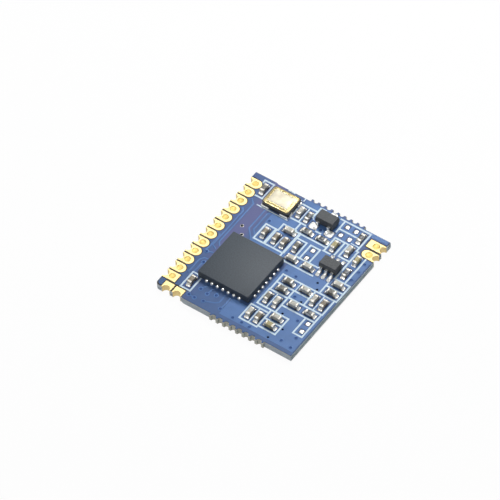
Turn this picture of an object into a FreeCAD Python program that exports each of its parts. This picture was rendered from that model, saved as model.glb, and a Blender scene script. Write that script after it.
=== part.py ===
"""Radio module: a small circuit board with half-hole pads on its edges, a square radio chip,
a crystal, an aerial switch, a transistor and 33 chip capacitors and resistors.

Millimetres. Origin under the middle of the board, on the plane that it rests on. +X runs from the
edge with twelve pads to the edge with the two aerial pads, +Y along the row of twelve from pad one
to pad twelve, and +Z out of the side with the parts on.

Places on the board are given as (across, along): across is measured from the edge with twelve
pads, along from the lower edge, where the two corner pads are. They were laid out on a board of
DRAWN_WIDTH by DRAWN_LENGTH, and spread with the board when its size changes.
"""
import FreeCAD
import Part
import math
import os
import Sketcher

Vector = FreeCAD.Vector
Z_AXIS = Vector(0, 0, 1)
DRAWN_WIDTH = 16.15
DRAWN_LENGTH = 17.0

SIZES = [
    # the board, built up from three layers
    ("board_width", 16.15, "across the board, from the edge with twelve pads to the far edge"),
    ("board_length", 17.0, "along the row of twelve pads"),
    ("laminate_thick", 0.72, "glass laminate between the two masks"),
    ("mask_thick", 0.04, "solder mask, each side"),
    ("edge_step", 0.1, "how far the routed ends of the long edges stand back"),
    ("step_slope", 0.3, "how wide the slope is where a long edge steps"),
    ("lower_step_at", 3.1, "where the lower edge steps out, from the twelve-pad edge"),
    ("upper_step_at", 2.5, "where the upper edge steps in, from the twelve-pad edge"),
    ("corner_round", 0.4, "the rounded corner beside the corner pads"),
    # the stubs that held the board in its panel, with a row of drilled bites in them
    ("stub_start", 6.62, "start of the broken stub, from the twelve-pad edge"),
    ("stub_stand", 0.2, "how far the stub stands out"),
    ("bite_round", 0.25, "radius of each drilled bite"),
    ("bite_pitch", 0.77, "from bite to bite"),
    ("bite_count", 8, "bites in each stub"),
    ("first_bite_in", 0.5, "centre of the first bite, from the stub's end"),
    # the castellated pads
    ("pad_pitch", 1.27, "from pad to pad along an edge"),
    ("pad_count", 12, "pads in the long row"),
    ("first_pad", 1.72, "centre of pad one, from the lower edge"),
    ("pad_reach", 1.52, "from the board's edge to the rounded inner end"),
    ("pad_width", 1.08, "width of a pad's land"),
    ("pad_rise", 0.01, "how far a land stands above the mask"),
    ("pad_hole_round", 0.34, "radius inside the plated hole"),
    ("pad_hole_in", 0.87, "centre of the plated hole, from the board's edge"),
    ("half_hole_round", 0.42, "radius inside the half hole on the edge"),
    ("plating", 0.04, "wall of the plated lining"),
    ("mask_clearance", 0.09, "bare laminate around a land"),
    ("corner_pad_at", 1.25, "first corner pad, from the twelve-pad edge"),
    ("corner_pad_width", 1.06, "width of a corner pad"),
    ("corner_pad_reach", 0.93, "from the lower edge to a corner pad's inner end"),
    ("aerial_width", 1.0, "width of an aerial pad"),
    ("aerial_reach", 1.78, "length of the square aerial pad"),
    ("aerial_ground_reach", 1.63, "length of the aerial's ground pad"),
    ("aerial_hole_round", 0.38, "radius inside the aerial's plated hole"),
    ("aerial_hole_in", 0.87, "centre of the aerial hole, from the far edge"),
    ("aerial_at", 1.3, "centre of the square aerial pad, down from the upper edge"),
    # legend and small lands
    ("legend_thick", 0.02, "printed legend"),
    ("legend_line", 0.18, "width of a legend line"),
    ("legend_thin", 0.12, "width of a dividing line"),
    ("land_length", 0.42, "side of a small land along its part"),
    ("land_width", 0.44, "side of a small land across its part"),
    # chip capacitors and resistors, all one footprint
    ("chip_length", 1.0, "length over the metal ends"),
    ("chip_width", 0.5, "width over the metal ends"),
    ("capacitor_height", 0.48, "height of a capacitor"),
    ("resistor_height", 0.35, "height of a resistor"),
    ("end_length", 0.24, "length of a metal end"),
    ("end_lip", 0.015, "how far a metal end stands proud of the ceramic"),
    ("solder_film", 0.02, "solder under a metal end or a lead"),
    ("fillet_reach", 0.24, "how far solder runs out past a metal end"),
    ("fillet_height", 0.26, "how far solder climbs a metal end"),
    # the radio chip
    ("radio_side", 6.0, "side of the radio chip"),
    ("radio_height", 0.88, "height of the radio chip"),
    ("radio_chamfer", 0.05, "edge of its top"),
    ("radio_pitch", 0.65, "from lead to lead"),
    ("radio_leads_a_side", 7, "leads on each side"),
    ("radio_lead_width", 0.3, "width of a lead"),
    ("radio_lead_height", 0.2, "height of a lead's end"),
    ("radio_lead_length", 0.5, "length of a lead under the chip"),
    ("radio_lead_stand", 0.05, "how far a lead's end stands out"),
    # the crystal
    ("crystal_length", 3.2, "length of the ceramic base"),
    ("crystal_width", 2.5, "width of the ceramic base"),
    ("crystal_base_height", 0.46, "height of the ceramic base"),
    ("crystal_round", 0.3, "corner radius of base, ring and lid"),
    ("crystal_ring_height", 0.14, "height of the sealing ring"),
    ("crystal_ring_inset", 0.1, "how far the ring stands in from the base"),
    ("crystal_ring_wall", 0.3, "wall of the sealing ring"),
    ("crystal_lid_inset", 0.12, "how far the lid stands in from the ring"),
    ("crystal_lid_height", 0.1, "thickness of the lid"),
    ("crystal_solder_length", 1.15, "length of a solder land under the crystal"),
    ("crystal_solder_width", 1.0, "width of a solder land under the crystal"),
    ("crystal_solder_stand", 0.12, "how far the solder runs out from under the base"),
    # the transistor and the aerial switch, in the same kind of moulded body
    ("moulded_width", 1.25, "across the body, between the rows of leads"),
    ("moulded_height", 0.9, "height of the body"),
    ("moulded_gap", 0.08, "air under the body"),
    ("moulded_draft", 0.07, "how far each side leans in, above and below the leads"),
    ("transistor_length", 2.1, "length of the transistor's body"),
    ("switch_length", 2.0, "length of the switch's body"),
    ("lead_width", 0.28, "width of a bent lead"),
    ("lead_thick", 0.12, "thickness of a bent lead"),
    ("lead_reach", 0.5, "how far a bent lead runs out from the body"),
    ("lead_foot", 0.28, "length of a bent lead's foot"),
    ("lead_exit", 0.5, "top of a lead where it leaves the body, above the board"),
    ("lead_pitch", 0.65, "from lead to lead"),
    ("transistor_land_length", 0.84, "side of a transistor's land along its body"),
    ("transistor_land_width", 0.8, "side of a transistor's land across its body"),
    ("transistor_land_spread", 1.45, "how much further apart its lands are than its leads, a ratio"),
    ("switch_land_width", 0.56, "side of a switch's land across its body"),
]

doc = FreeCAD.newDocument("RadioModule")
sheet = doc.addObject("Spreadsheet::Sheet", "Sizes")
sheet.Label = "Sizes"
for row, (alias, value, meaning) in enumerate(SIZES, start=1):
    sheet.set(f"A{row}", alias)
    sheet.set(f"B{row}", str(value))
    sheet.set(f"C{row}", meaning)
    sheet.setAlias(f"B{row}", alias)
doc.recompute()


def size(alias):
    """One driving size, read back from the sheet."""
    return float(sheet.get(alias))


NODES = []

# the top of the board, as a rule for the sheet's sizes and as a number
TOP = "(Sizes.laminate_thick + 2 * Sizes.mask_thick)"
top = size("laminate_thick") + 2 * size("mask_thick")
half_width = size("board_width") / 2
half_length = size("board_length") / 2
spread_across = size("board_width") / DRAWN_WIDTH
spread_along = size("board_length") / DRAWN_LENGTH


def off_left(distance):
    """Rule for X, from a distance off the twelve-pad edge."""
    return f"{distance} - Sizes.board_width / 2"


def off_lower(distance):
    """Rule for Y, from a distance off the lower edge."""
    return f"{distance} - Sizes.board_length / 2"


def across(place):
    """Rule for the X of a place in the layout, which spreads with the board."""
    return f"({place / DRAWN_WIDTH} - 0.5) * Sizes.board_width"


def along(place):
    """Rule for the Y of a place in the layout."""
    return f"({place / DRAWN_LENGTH} - 0.5) * Sizes.board_length"


def edge_spot(distance_left, distance_lower):
    """A point on the board's underside at two distances from its edges."""
    return Vector(distance_left - half_width, distance_lower - half_length, 0)


def spot(place_across, place_along, height=0.0):
    """A place in the layout as a point."""
    return edge_spot(place_across * spread_across, place_along * spread_along) + Vector(0, 0, height)


def keep(piece, name):
    """Names a sub-part and puts it on the list of nodes."""
    piece.Label = name
    NODES.append(piece)
    return piece


def bind(piece, rules):
    for name, rule in rules.items():
        piece.setExpression(name, rule)


def keep_shape(name, shape):
    """A sub-part whose shape is worked out here from the sheet's sizes."""
    piece = doc.addObject("Part::Feature", name)
    piece.Shape = shape
    return keep(piece, name)


def new_body(name):
    body = doc.addObject("PartDesign::Body", name)
    return keep(body, name)


def new_sketch(body, name, height=None):
    """A sketch on the body's own XY plane, raised by a rule."""
    sketch = body.newObject("Sketcher::SketchObject", name)
    plane = next(f for f in body.Origin.OriginFeatures if f.Role == "XY_Plane")
    sketch.AttachmentSupport = (plane, [""])
    sketch.MapMode = "FlatFace"
    if height:
        sketch.setExpression("AttachmentOffset.Base.z", height)
    return sketch


def outline(sketch, corners):
    """Draws straight edges through corners, each tied to the sketch's origin by two rules."""
    values = [Vector(n, n % 3 + n, 0) for n in range(len(corners))]
    for n, value in enumerate(values):
        sketch.addGeometry(Part.LineSegment(value, values[(n + 1) % len(values)]))
    for n in range(len(corners)):
        following = (n + 1) % len(corners)
        sketch.addConstraint(Sketcher.Constraint("Coincident", n, 2, following, 1))
    for n, corner in enumerate(corners):
        for kind, rule in zip(("DistanceX", "DistanceY"), corner):
            sketch.addConstraint(Sketcher.Constraint(kind, -1, 1, n, 1, 0.0))
            name = f"{kind[-1].lower()}{n}"
            sketch.renameConstraint(sketch.ConstraintCount - 1, name)
            sketch.setExpression(f"Constraints.{name}", rule)


def circle(sketch, x_rule, y_rule, round_rule):
    """One circle, with its centre and radius tied by rules."""
    n = sketch.addGeometry(Part.Circle(Vector(1, 1, 0), Z_AXIS, 1))
    sketch.addConstraint(Sketcher.Constraint("Radius", n, 1.0))
    sketch.renameConstraint(sketch.ConstraintCount - 1, f"round{n}")
    sketch.setExpression(f"Constraints.round{n}", round_rule)
    for kind, rule in (("DistanceX", x_rule), ("DistanceY", y_rule)):
        sketch.addConstraint(Sketcher.Constraint(kind, -1, 1, n, 3, 0.0))
        name = f"centre_{kind[-1].lower()}{n}"
        sketch.renameConstraint(sketch.ConstraintCount - 1, name)
        sketch.setExpression(f"Constraints.{name}", rule)


def pad_up(body, sketch, name, length, taper=None):
    """Raises a sketch by a rule, with its sides leaning in by a rule in degrees."""
    feature = body.newObject("PartDesign::Pad", name)
    feature.Profile = sketch
    feature.setExpression("Length", length)
    if taper:
        feature.setExpression("TaperAngle", taper)
    return feature


def drill(body, sketch, name):
    """Cuts a sketch right through the body, both ways."""
    feature = body.newObject("PartDesign::Pocket", name)
    feature.Profile = sketch
    feature.Type = "ThroughAll"
    feature.SideType = "Symmetric"
    return feature


def repeat(body, feature, sketch, axis, name, spacing, count):
    """Repeats a feature in a straight line."""
    pattern = body.newObject("PartDesign::LinearPattern", name)
    pattern.Originals = [feature]
    pattern.Direction = (sketch, [axis])
    pattern.Mode = "Spacing"
    pattern.setExpression("Offset", spacing)
    pattern.setExpression("Occurrences", count)
    body.Tip = pattern
    return pattern


# Board: the routed outline, with a step near one end of each long edge and a broken stub on each,
# drilled along its outer side.

STUB_LENGTH = "(Sizes.bite_pitch * (Sizes.bite_count - 1) + 2 * Sizes.first_bite_in)"
UPPER = "Sizes.board_length / 2"
LOWER = "-Sizes.board_length / 2"
LEFT = "-Sizes.board_width / 2"
RIGHT = "Sizes.board_width / 2"


def board_outline():
    """Corners of the routed outline, in order from the lower left."""
    return [
        (LEFT, f"{LOWER} + Sizes.edge_step"),
        (off_left("Sizes.lower_step_at"), f"{LOWER} + Sizes.edge_step"),
        (off_left("Sizes.lower_step_at + Sizes.step_slope"), LOWER),
        (RIGHT, LOWER),
        (RIGHT, f"{UPPER} - Sizes.edge_step"),
        (off_left("Sizes.upper_step_at + Sizes.step_slope"), f"{UPPER} - Sizes.edge_step"),
        (off_left("Sizes.upper_step_at"), UPPER),
        (LEFT, UPPER),
    ]


def stub_outline(inner, outer):
    """Corners of one stub, from just inside the board to its broken side."""
    start = off_left("Sizes.stub_start")
    end = off_left(f"Sizes.stub_start + {STUB_LENGTH}")
    return [(start, inner), (end, inner), (end, outer), (start, outer)]


def board_plate(body, name, height, thickness):
    """The routed outline of the board as one layer."""
    plate = new_sketch(body, f"{name}_plate", height)
    outline(plate, board_outline())
    pad_up(body, plate, f"{name}_plate_pad", thickness)


def add_stubs(body, name, height, thickness):
    """The broken stub on each long edge, with its row of bites."""
    inset = "2 * Sizes.edge_step"
    sides = {
        "lower": (f"{LOWER} + {inset}", f"{LOWER} - Sizes.stub_stand"),
        "upper": (f"{UPPER} - {inset}", f"{UPPER} + Sizes.stub_stand"),
    }
    for side, (inner, outer) in sides.items():
        stub = new_sketch(body, f"{name}_{side}_stub", height)
        outline(stub, stub_outline(inner, outer))
        pad_up(body, stub, f"{name}_{side}_stub_pad", thickness)
        bite = new_sketch(body, f"{name}_{side}_bite", height)
        circle(bite, off_left("Sizes.stub_start + Sizes.first_bite_in"), outer, "Sizes.bite_round")
        cut = drill(body, bite, f"{name}_{side}_bite_cut")
        row = f"{name}_{side}_bites"
        repeat(body, cut, bite, "H_Axis", row, "Sizes.bite_pitch", "Sizes.bite_count")


def round_corner(body, name):
    """Rounds the upright edge at the lower left corner."""
    corner = edge_spot(0, size("edge_step"))
    doc.recompute()
    for number, edge in enumerate(body.Shape.Edges, start=1):
        ends = [vertex.Point for vertex in edge.Vertexes]
        upright = len(ends) == 2 and abs(ends[0].z - ends[1].z) > size("mask_thick") / 2
        if upright and abs(ends[0].x - corner.x) + abs(ends[0].y - corner.y) < size("mask_thick"):
            last = body.Tip
            rounding = body.newObject("PartDesign::Fillet", name)
            rounding.Base = (last, [f"Edge{number}"])
            rounding.setExpression("Radius", "Sizes.corner_round")
            return
    raise RuntimeError(f"{name}: the corner edge wasn't found")


PAD_ROW = [size("first_pad") + n * size("pad_pitch") for n in range(int(size("pad_count")))]
CORNER_PADS = [size("corner_pad_at"), size("corner_pad_at") + size("pad_pitch")]
AERIAL_AT = size("board_length") - size("aerial_at")
AERIAL_GROUND_AT = AERIAL_AT - size("pad_pitch")

# The outer side of a plated lining is hidden in the laminate, so there it has eight flats.
LINING_SIDES = 8
FLAT_TO_CORNER = 1 / math.cos(math.pi / LINING_SIDES)
LINING_TURNS = [math.pi * (2 * n + 1) / LINING_SIDES for n in range(LINING_SIDES)]


def lining_outline(sketch, x_rule, y_rule, hole_rule):
    """The eight-sided outside of a lining, drawn in the laminate."""
    corner = f"({hole_rule} + Sizes.plating) * {FLAT_TO_CORNER}"
    outline(
        sketch,
        [
            (f"{x_rule} + {corner} * {math.cos(turn)}", f"{y_rule} + {corner} * {math.sin(turn)}")
            for turn in LINING_TURNS
        ],
    )


laminate = new_body("board_laminate")
board_plate(laminate, "board_laminate", "Sizes.mask_thick", "Sizes.laminate_thick")
add_stubs(laminate, "board_laminate", "Sizes.mask_thick", "Sizes.laminate_thick")
round_corner(laminate, "board_laminate_corner")

row_hole = new_sketch(laminate, "row_holes")
first_y = off_lower("Sizes.first_pad")
lining_outline(row_hole, off_left("Sizes.pad_hole_in"), first_y, "Sizes.pad_hole_round")
row_half = new_sketch(laminate, "row_half_holes")
lining_outline(row_half, LEFT, first_y, "Sizes.half_hole_round")
for sketch in (row_hole, row_half):
    cut = drill(laminate, sketch, f"{sketch.Name}_cut")
    repeat(laminate, cut, sketch, "V_Axis", f"{sketch.Name}_row", "Sizes.pad_pitch", "Sizes.pad_count")

corner_half = new_sketch(laminate, "corner_half_holes")
corner_x = off_left("Sizes.corner_pad_at")
lining_outline(corner_half, corner_x, f"{LOWER} + Sizes.edge_step", "Sizes.half_hole_round")
cut = drill(laminate, corner_half, "corner_half_holes_cut")
repeat(laminate, cut, corner_half, "H_Axis", "corner_half_holes_row", "Sizes.pad_pitch", "2")

aerial_y = f"{UPPER} - Sizes.aerial_at"
aerial_hole = new_sketch(laminate, "aerial_holes")
lining_outline(aerial_hole, f"{RIGHT} - Sizes.aerial_hole_in", aerial_y, "Sizes.aerial_hole_round")
aerial_half = new_sketch(laminate, "aerial_half_holes")
lining_outline(aerial_half, RIGHT, aerial_y, "Sizes.half_hole_round")
for sketch in (aerial_hole, aerial_half):
    cut = drill(laminate, sketch, f"{sketch.Name}_cut")
    pattern = repeat(laminate, cut, sketch, "V_Axis", f"{sketch.Name}_row", "Sizes.pad_pitch", "2")
    pattern.Reversed = True


# Castellated pads: a land on each face, joined by the plated lining of a hole and of the half hole
# that the routed edge cuts open. Each is one piece of copper.


def disc(place, radius, low, high):
    return Part.makeCylinder(radius, high - low, place + Vector(0, 0, low))


def slab(low_corner, high_corner):
    span = high_corner - low_corner
    return Part.makeBox(span.x, span.y, span.z, low_corner)


def eight_sided(place, to_flat, low, high):
    """An upright block with eight flats, the same way round as the cuts in the laminate."""
    corner = to_flat * FLAT_TO_CORNER
    corners = [
        place + Vector(corner * math.cos(turn), corner * math.sin(turn), low) for turn in LINING_TURNS
    ]
    return Part.Face(Part.makePolygon(corners + corners[:1])).extrude(Vector(0, 0, high - low))


def land(reach, width, low, high, square):
    """A land that runs in along +X from the board's edge at X = 0."""
    straight = reach if square else reach - width / 2
    plate = slab(Vector(0, -width / 2, low), Vector(straight, width / 2, high))
    if square:
        return plate
    return plate.fuse(disc(Vector(straight, 0, 0), width / 2, low, high)).removeSplitter()


def castellated_pad(reach, width, square=False, hole=None, hole_in=0.0):
    """A pad in its own frame: the board's edge at X = 0, the pad running in along +X."""
    half_round = size("half_hole_round")
    wall = size("plating")
    mask = size("mask_thick")
    land_top = top + size("pad_rise")
    edge = Vector(0, 0, 0)
    shape = land(reach, width, 0, mask, True)
    shape = shape.fuse(land(reach, width, top - mask, land_top, square))
    shape = shape.fuse(eight_sided(edge, half_round + wall, 0, land_top))
    bore = disc(edge, half_round, -mask, land_top + mask)
    if hole:
        inner = Vector(hole_in, 0, 0)
        shape = shape.fuse(eight_sided(inner, hole + wall, 0, land_top))
        bore = bore.fuse(disc(inner, hole, -mask, land_top + mask))
    outside = slab(Vector(-reach, -width, -mask), Vector(0, width, land_top + mask))
    return shape.cut(bore).cut(outside).removeSplitter()


def placed(shape, place, turn=0.0):
    """A copy turned about Z and moved to a place on the board."""
    moved = shape.copy()
    moved.Placement = FreeCAD.Placement(place, FreeCAD.Rotation(Z_AXIS, turn)) * shape.Placement
    return moved


hole_round = size("pad_hole_round")
hole_in = size("pad_hole_in")
row_pad = castellated_pad(size("pad_reach"), size("pad_width"), False, hole_round, hole_in)
keep_shape(
    "pin_one_pad",
    placed(
        castellated_pad(size("pad_reach"), size("pad_width"), True, hole_round, hole_in),
        edge_spot(0, PAD_ROW[0]),
    ),
)
keep_shape("edge_pads", Part.makeCompound([placed(row_pad, edge_spot(0, y)) for y in PAD_ROW[1:]]))
corner_reach = size("corner_pad_reach") - size("edge_step")
corner_pad = castellated_pad(corner_reach, size("corner_pad_width"), True)
keep_shape(
    "corner_pads",
    Part.makeCompound([placed(corner_pad, edge_spot(x, size("edge_step")), 90) for x in CORNER_PADS]),
)
aerial_hole_round = size("aerial_hole_round")
for name, reach, place, square in (
    ("antenna_pad", size("aerial_reach"), AERIAL_AT, True),
    ("antenna_ground_pad", size("aerial_ground_reach"), AERIAL_GROUND_AT, False),
):
    pad = castellated_pad(reach, size("aerial_width"), square, aerial_hole_round, size("aerial_hole_in"))
    keep_shape(name, placed(pad, edge_spot(size("board_width"), place), 180))

# Small lands: the empty places, and those under the two moulded parts.
TRANSISTOR_AT = (9.62, 15.5)
SWITCH_AT = (13.15, 10.98)
SPARE_LANDS = [
    (15.27, 4.15),
    (15.3, 3.05),
    (10.43, 11.87),
    (10.45, 10.76),
    (11.56, 16.15),
    (12.6, 16.15),
    (11.56, 14.97),
    (12.6, 14.97),
]
lead_out = size("moulded_width") / 2 + size("lead_reach") - size("lead_foot") / 2


def small_land(place, length, width, step=0.0, out=0.0):
    """A flat land in its own window of the mask, moved off its place by a step and a way out."""
    low = spot(*place, top - size("mask_thick")) + Vector(step - length / 2, out - width / 2, 0)
    return Part.makeBox(length, width, size("mask_thick") + size("pad_rise"), low)


spare = [small_land(place, size("land_length"), size("land_width")) for place in SPARE_LANDS]
transistor_places = [(-size("lead_pitch"), -1), (size("lead_pitch"), -1), (0, 1)]
switch_places = [(n * size("lead_pitch"), side) for side in (-1, 1) for n in (-1, 0, 1)]
transistor_land = (size("transistor_land_length"), size("transistor_land_width"))
switch_land = (size("lead_width") + size("mask_clearance"), size("switch_land_width"))
spread = size("transistor_land_spread")
under_leads = [
    small_land(TRANSISTOR_AT, *transistor_land, step * spread, side * lead_out)
    for step, side in transistor_places
]
under_leads += [
    small_land(SWITCH_AT, *switch_land, step, side * lead_out) for step, side in switch_places
]
keep_shape("spare_lands", Part.makeCompound(spare))
keep_shape("chip_lands", Part.makeCompound(under_leads))


# Solder masks. The top one follows the routed outline and leaves windows around every pad and
# land. The bottom one stops short of the pads on all sides.


def pad_window(reach, width, square):
    """The mask's window around one pad, in the pad's own frame, with flats round a rounded end."""
    clear = size("mask_clearance")
    mask = size("mask_thick")
    half = width / 2 + clear
    straight = reach + clear if square else reach - width / 2
    window = slab(Vector(-width, -half, -mask), Vector(straight, half, mask))
    if square:
        return window
    return window.fuse(eight_sided(Vector(straight, 0, 0), half, -mask, mask)).removeSplitter()


level = Vector(0, 0, top)
windows = []
for n, y in enumerate(PAD_ROW):
    window = pad_window(size("pad_reach"), size("pad_width"), n == 0)
    windows.append(placed(window, edge_spot(0, y) + level))
window = pad_window(corner_reach, size("corner_pad_width"), True)
windows += [placed(window, edge_spot(x, size("edge_step")) + level, 90) for x in CORNER_PADS]
for reach, place, square in (
    (size("aerial_reach"), AERIAL_AT, True),
    (size("aerial_ground_reach"), AERIAL_GROUND_AT, False),
):
    window = pad_window(reach, size("aerial_width"), square)
    windows.append(placed(window, edge_spot(size("board_width"), place) + level, 180))

mask_sheet = doc.addObject("PartDesign::Body", "top_mask_sheet")
board_plate(mask_sheet, "top_mask_sheet", f"{TOP} - Sizes.mask_thick", "Sizes.mask_thick")
round_corner(mask_sheet, "top_mask_sheet_corner")
doc.recompute()
openings = Part.makeCompound(windows + spare + under_leads)
keep_shape("solder_mask_top", mask_sheet.Shape.cut(openings))

under = new_body("solder_mask_bottom")
under_sheet = new_sketch(under, "solder_mask_bottom_sheet")
row_margin = "(Sizes.pad_reach + Sizes.mask_clearance)"
far_margin = "(Sizes.aerial_reach + Sizes.mask_clearance)"
lower_margin = "(Sizes.corner_pad_reach + Sizes.mask_clearance)"
outline(
    under_sheet,
    [
        (f"{LEFT} + {row_margin}", f"{LOWER} + {lower_margin}"),
        (f"{RIGHT} - Sizes.edge_step", f"{LOWER} + {lower_margin}"),
        (f"{RIGHT} - Sizes.edge_step", f"{UPPER} - 3 * Sizes.aerial_at"),
        (f"{RIGHT} - {far_margin}", f"{UPPER} - 3 * Sizes.aerial_at"),
        (f"{RIGHT} - {far_margin}", f"{UPPER} - 2 * Sizes.edge_step"),
        (f"{LEFT} + {row_margin}", f"{UPPER} - 2 * Sizes.edge_step"),
    ],
)
pad_up(under, under_sheet, "solder_mask_bottom_pad", "Sizes.mask_thick")


# Legend: the printed frames around the parts, as (across, along) from end to end of each line.
LEGEND_LINES = [
    # around the lone capacitor by pad one
    (2.27, 1.15, 2.27, 3.25),
    (3.39, 1.15, 3.39, 3.25),
    (2.27, 1.15, 3.39, 1.15),
    (2.27, 3.25, 3.39, 3.25),
    # lower right block
    (9.27, 1.12, 9.27, 3.15),
    (9.27, 1.12, 11.34, 1.12),
    (9.27, 3.15, 11.34, 3.15),
    (11.34, 1.12, 11.34, 3.55),
    (11.34, 1.31, 13.36, 1.31),
    (11.34, 2.43, 13.36, 2.43),
    (9.66, 3.58, 13.36, 3.58),
    (13.36, 1.31, 13.36, 3.58),
    (9.66, 3.62, 9.66, 5.65),
    (11.8, 3.58, 11.8, 6.75),
    (9.66, 5.65, 11.8, 5.65),
    (9.72, 5.65, 9.72, 7.86),
    (9.72, 6.75, 13.57, 6.75),
    (9.72, 7.86, 16.0, 7.86),
    (13.57, 5.77, 13.57, 7.86),
    (11.8, 5.77, 15.78, 5.77),
    (15.78, 5.77, 15.78, 7.86),
    (11.8, 4.63, 15.7, 4.63),
    (15.7, 2.46, 15.7, 5.77),
    (14.66, 2.46, 14.66, 4.63),
    (14.66, 2.46, 15.7, 2.46),
    # right side, up to the aerial
    (13.98, 7.86, 13.98, 9.35),
    (16.0, 7.86, 16.0, 10.16),
    (13.98, 9.0, 16.0, 9.0),
    (14.2, 10.16, 16.0, 10.16),
    (14.2, 10.16, 14.2, 14.15),
    (15.36, 10.16, 15.36, 13.75),
    (14.0, 14.15, 14.2, 14.15),
    (14.0, 14.15, 14.0, 16.65),
    (10.47, 16.65, 14.0, 16.65),
    (12.91, 12.68, 12.91, 14.4),
    (12.91, 12.68, 14.2, 12.68),
    (11.32, 12.43, 11.32, 14.4),
    (12.47, 12.6, 12.47, 14.4),
    (11.25, 12.43, 12.03, 12.43),
    (11.32, 14.4, 12.91, 14.4),
    (11.0, 15.55, 13.03, 15.55),
    (10.96, 15.1, 10.96, 16.65),
    # middle, above the radio chip
    (9.88, 10.35, 9.88, 12.3),
    (10.98, 10.35, 10.98, 12.3),
    (9.88, 12.3, 10.98, 12.3),
    (9.4, 10.38, 12.05, 10.38),
    (8.14, 9.55, 8.14, 12.95),
    (8.14, 12.3, 9.4, 12.3),
    (9.4, 10.38, 9.4, 12.3),
    (8.75, 9.24, 12.2, 9.24),
    (4.68, 9.98, 4.68, 12.1),
    (4.68, 12.1, 6.12, 12.1),
    (4.68, 9.98, 8.14, 9.98),
    (5.92, 9.98, 5.92, 12.1),
    (6.12, 12.1, 6.12, 13.03),
    (6.12, 13.03, 7.6, 13.03),
    (7.47, 13.03, 7.47, 14.06),
    (7.47, 12.9, 11.32, 12.9),
    # upper left, by the crystal and the transistor
    (6.1, 14.06, 6.1, 16.13),
    (6.1, 16.13, 8.03, 16.13),
    (6.1, 14.06, 7.95, 14.06),
    (8.03, 15.3, 8.03, 16.68),
    (8.03, 16.68, 8.63, 16.68),
    (9.27, 14.02, 9.8, 14.02),
    (1.4, 16.57, 2.48, 16.57),
    (1.4, 16.25, 1.4, 16.57),
    (1.67, 14.5, 2.48, 14.5),
]
LEGEND_DIVIDERS = [
    (10.33, 1.12, 10.33, 3.15),
    (10.71, 3.62, 10.71, 5.65),
    (11.88, 6.75, 11.88, 7.86),
    (14.66, 5.77, 14.66, 7.86),
    (7.03, 9.98, 7.03, 11.6),
    (7.16, 14.06, 7.16, 16.13),
    (13.05, 14.65, 13.9, 14.65),
    (2.54, 13.6, 6.1, 13.6),
    (6.1, 16.13, 6.1, 16.8),
    (4.1, 16.8, 4.8, 16.8),
    (2.48, 14.5, 2.48, 16.57),
]


def legend_bar(line, width):
    """One printed line with square ends."""
    corner = Vector(width / 2, width / 2, 0)
    low = spot(min(line[0], line[2]), min(line[1], line[3]), top) - corner
    high = spot(max(line[0], line[2]), max(line[1], line[3]), top) + corner
    return slab(low, high + Vector(0, 0, size("legend_thick")))


bars = [legend_bar(line, size("legend_line")) for line in LEGEND_LINES]
bars += [legend_bar(line, size("legend_thin")) for line in LEGEND_DIVIDERS]
legend = bars[0].multiFuse(bars[1:]).removeSplitter()

# Chip capacitors and resistors: (across, along, upright), where an upright one lies along Y.
CAPACITORS = [
    (2.85, 2.2, True),
    (9.85, 2.13, True),
    (10.87, 2.13, True),
    (12.38, 2.98, False),
    (12.38, 1.87, False),
    (10.2, 4.62, True),
    (11.27, 4.62, True),
    (10.8, 6.17, False),
    (10.8, 7.28, False),
    (12.78, 7.28, False),
    (14.15, 6.8, True),
    (15.23, 6.8, True),
    (12.85, 5.18, False),
    (15.05, 8.43, False),
    (15.05, 9.58, False),
    (14.82, 13.05, True),
    (13.48, 13.68, True),
    (11.92, 13.43, True),
    (8.9, 11.3, True),
    (9.33, 9.8, False),
    (11.25, 9.8, False),
    (5.3, 11.07, True),
    (6.6, 11.07, True),
    (7.6, 11.05, True),
    (7.17, 12.5, False),
    (6.72, 15.1, True),
    (2.03, 15.53, True),
]
RESISTORS = [
    (14.72, 5.18, False),
    (14.78, 11.25, True),
    (13.52, 15.65, True),
    (8.63, 13.43, False),
    (10.43, 13.43, False),
    (7.7, 15.05, True),
]


def box(name, sizes, corner):
    """A box with its sizes and its low corner tied by rules."""
    solid = doc.addObject("Part::Box", name)
    bind(solid, dict(zip(("Length", "Width", "Height"), sizes)))
    bind(solid, {f"Placement.Base.{axis}": rule for axis, rule in zip("xyz", corner)})
    return solid


def chip_part(name, place, height):
    """A ceramic block with a metal cap on each end, drawn along X and then turned and placed."""
    lip = "Sizes.end_lip"
    core = box(
        f"{name}_ceramic",
        (f"Sizes.chip_length - 2 * {lip}", f"Sizes.chip_width - 2 * {lip}", f"{height} - 2 * {lip}"),
        (f"{lip} - Sizes.chip_length / 2", f"{lip} - Sizes.chip_width / 2", lip),
    )
    ends = [
        box(
            f"{name}_end_{side}",
            ("Sizes.end_length", "Sizes.chip_width", height),
            (start, "-Sizes.chip_width / 2", "0"),
        )
        for side, start in (
            ("a", "-Sizes.chip_length / 2"),
            ("b", "Sizes.chip_length / 2 - Sizes.end_length"),
        )
    ]
    part = doc.addObject("Part::MultiFuse", name)
    part.Shapes = [core] + ends
    part.Refine = True
    part.Placement = FreeCAD.Placement(Vector(0, 0, 0), FreeCAD.Rotation(Z_AXIS, 90 if place[2] else 0))
    rules = (across(place[0]), along(place[1]), f"{TOP} + Sizes.solder_film")
    bind(part, {f"Placement.Base.{axis}": rule for axis, rule in zip("xyz", rules)})
    return keep(part, name)


for n, place in enumerate(CAPACITORS, start=1):
    chip_part(f"capacitor_{n:02d}", place, "Sizes.capacitor_height")
for n, place in enumerate(RESISTORS, start=1):
    chip_part(f"resistor_{n:02d}", place, "Sizes.resistor_height")


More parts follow.
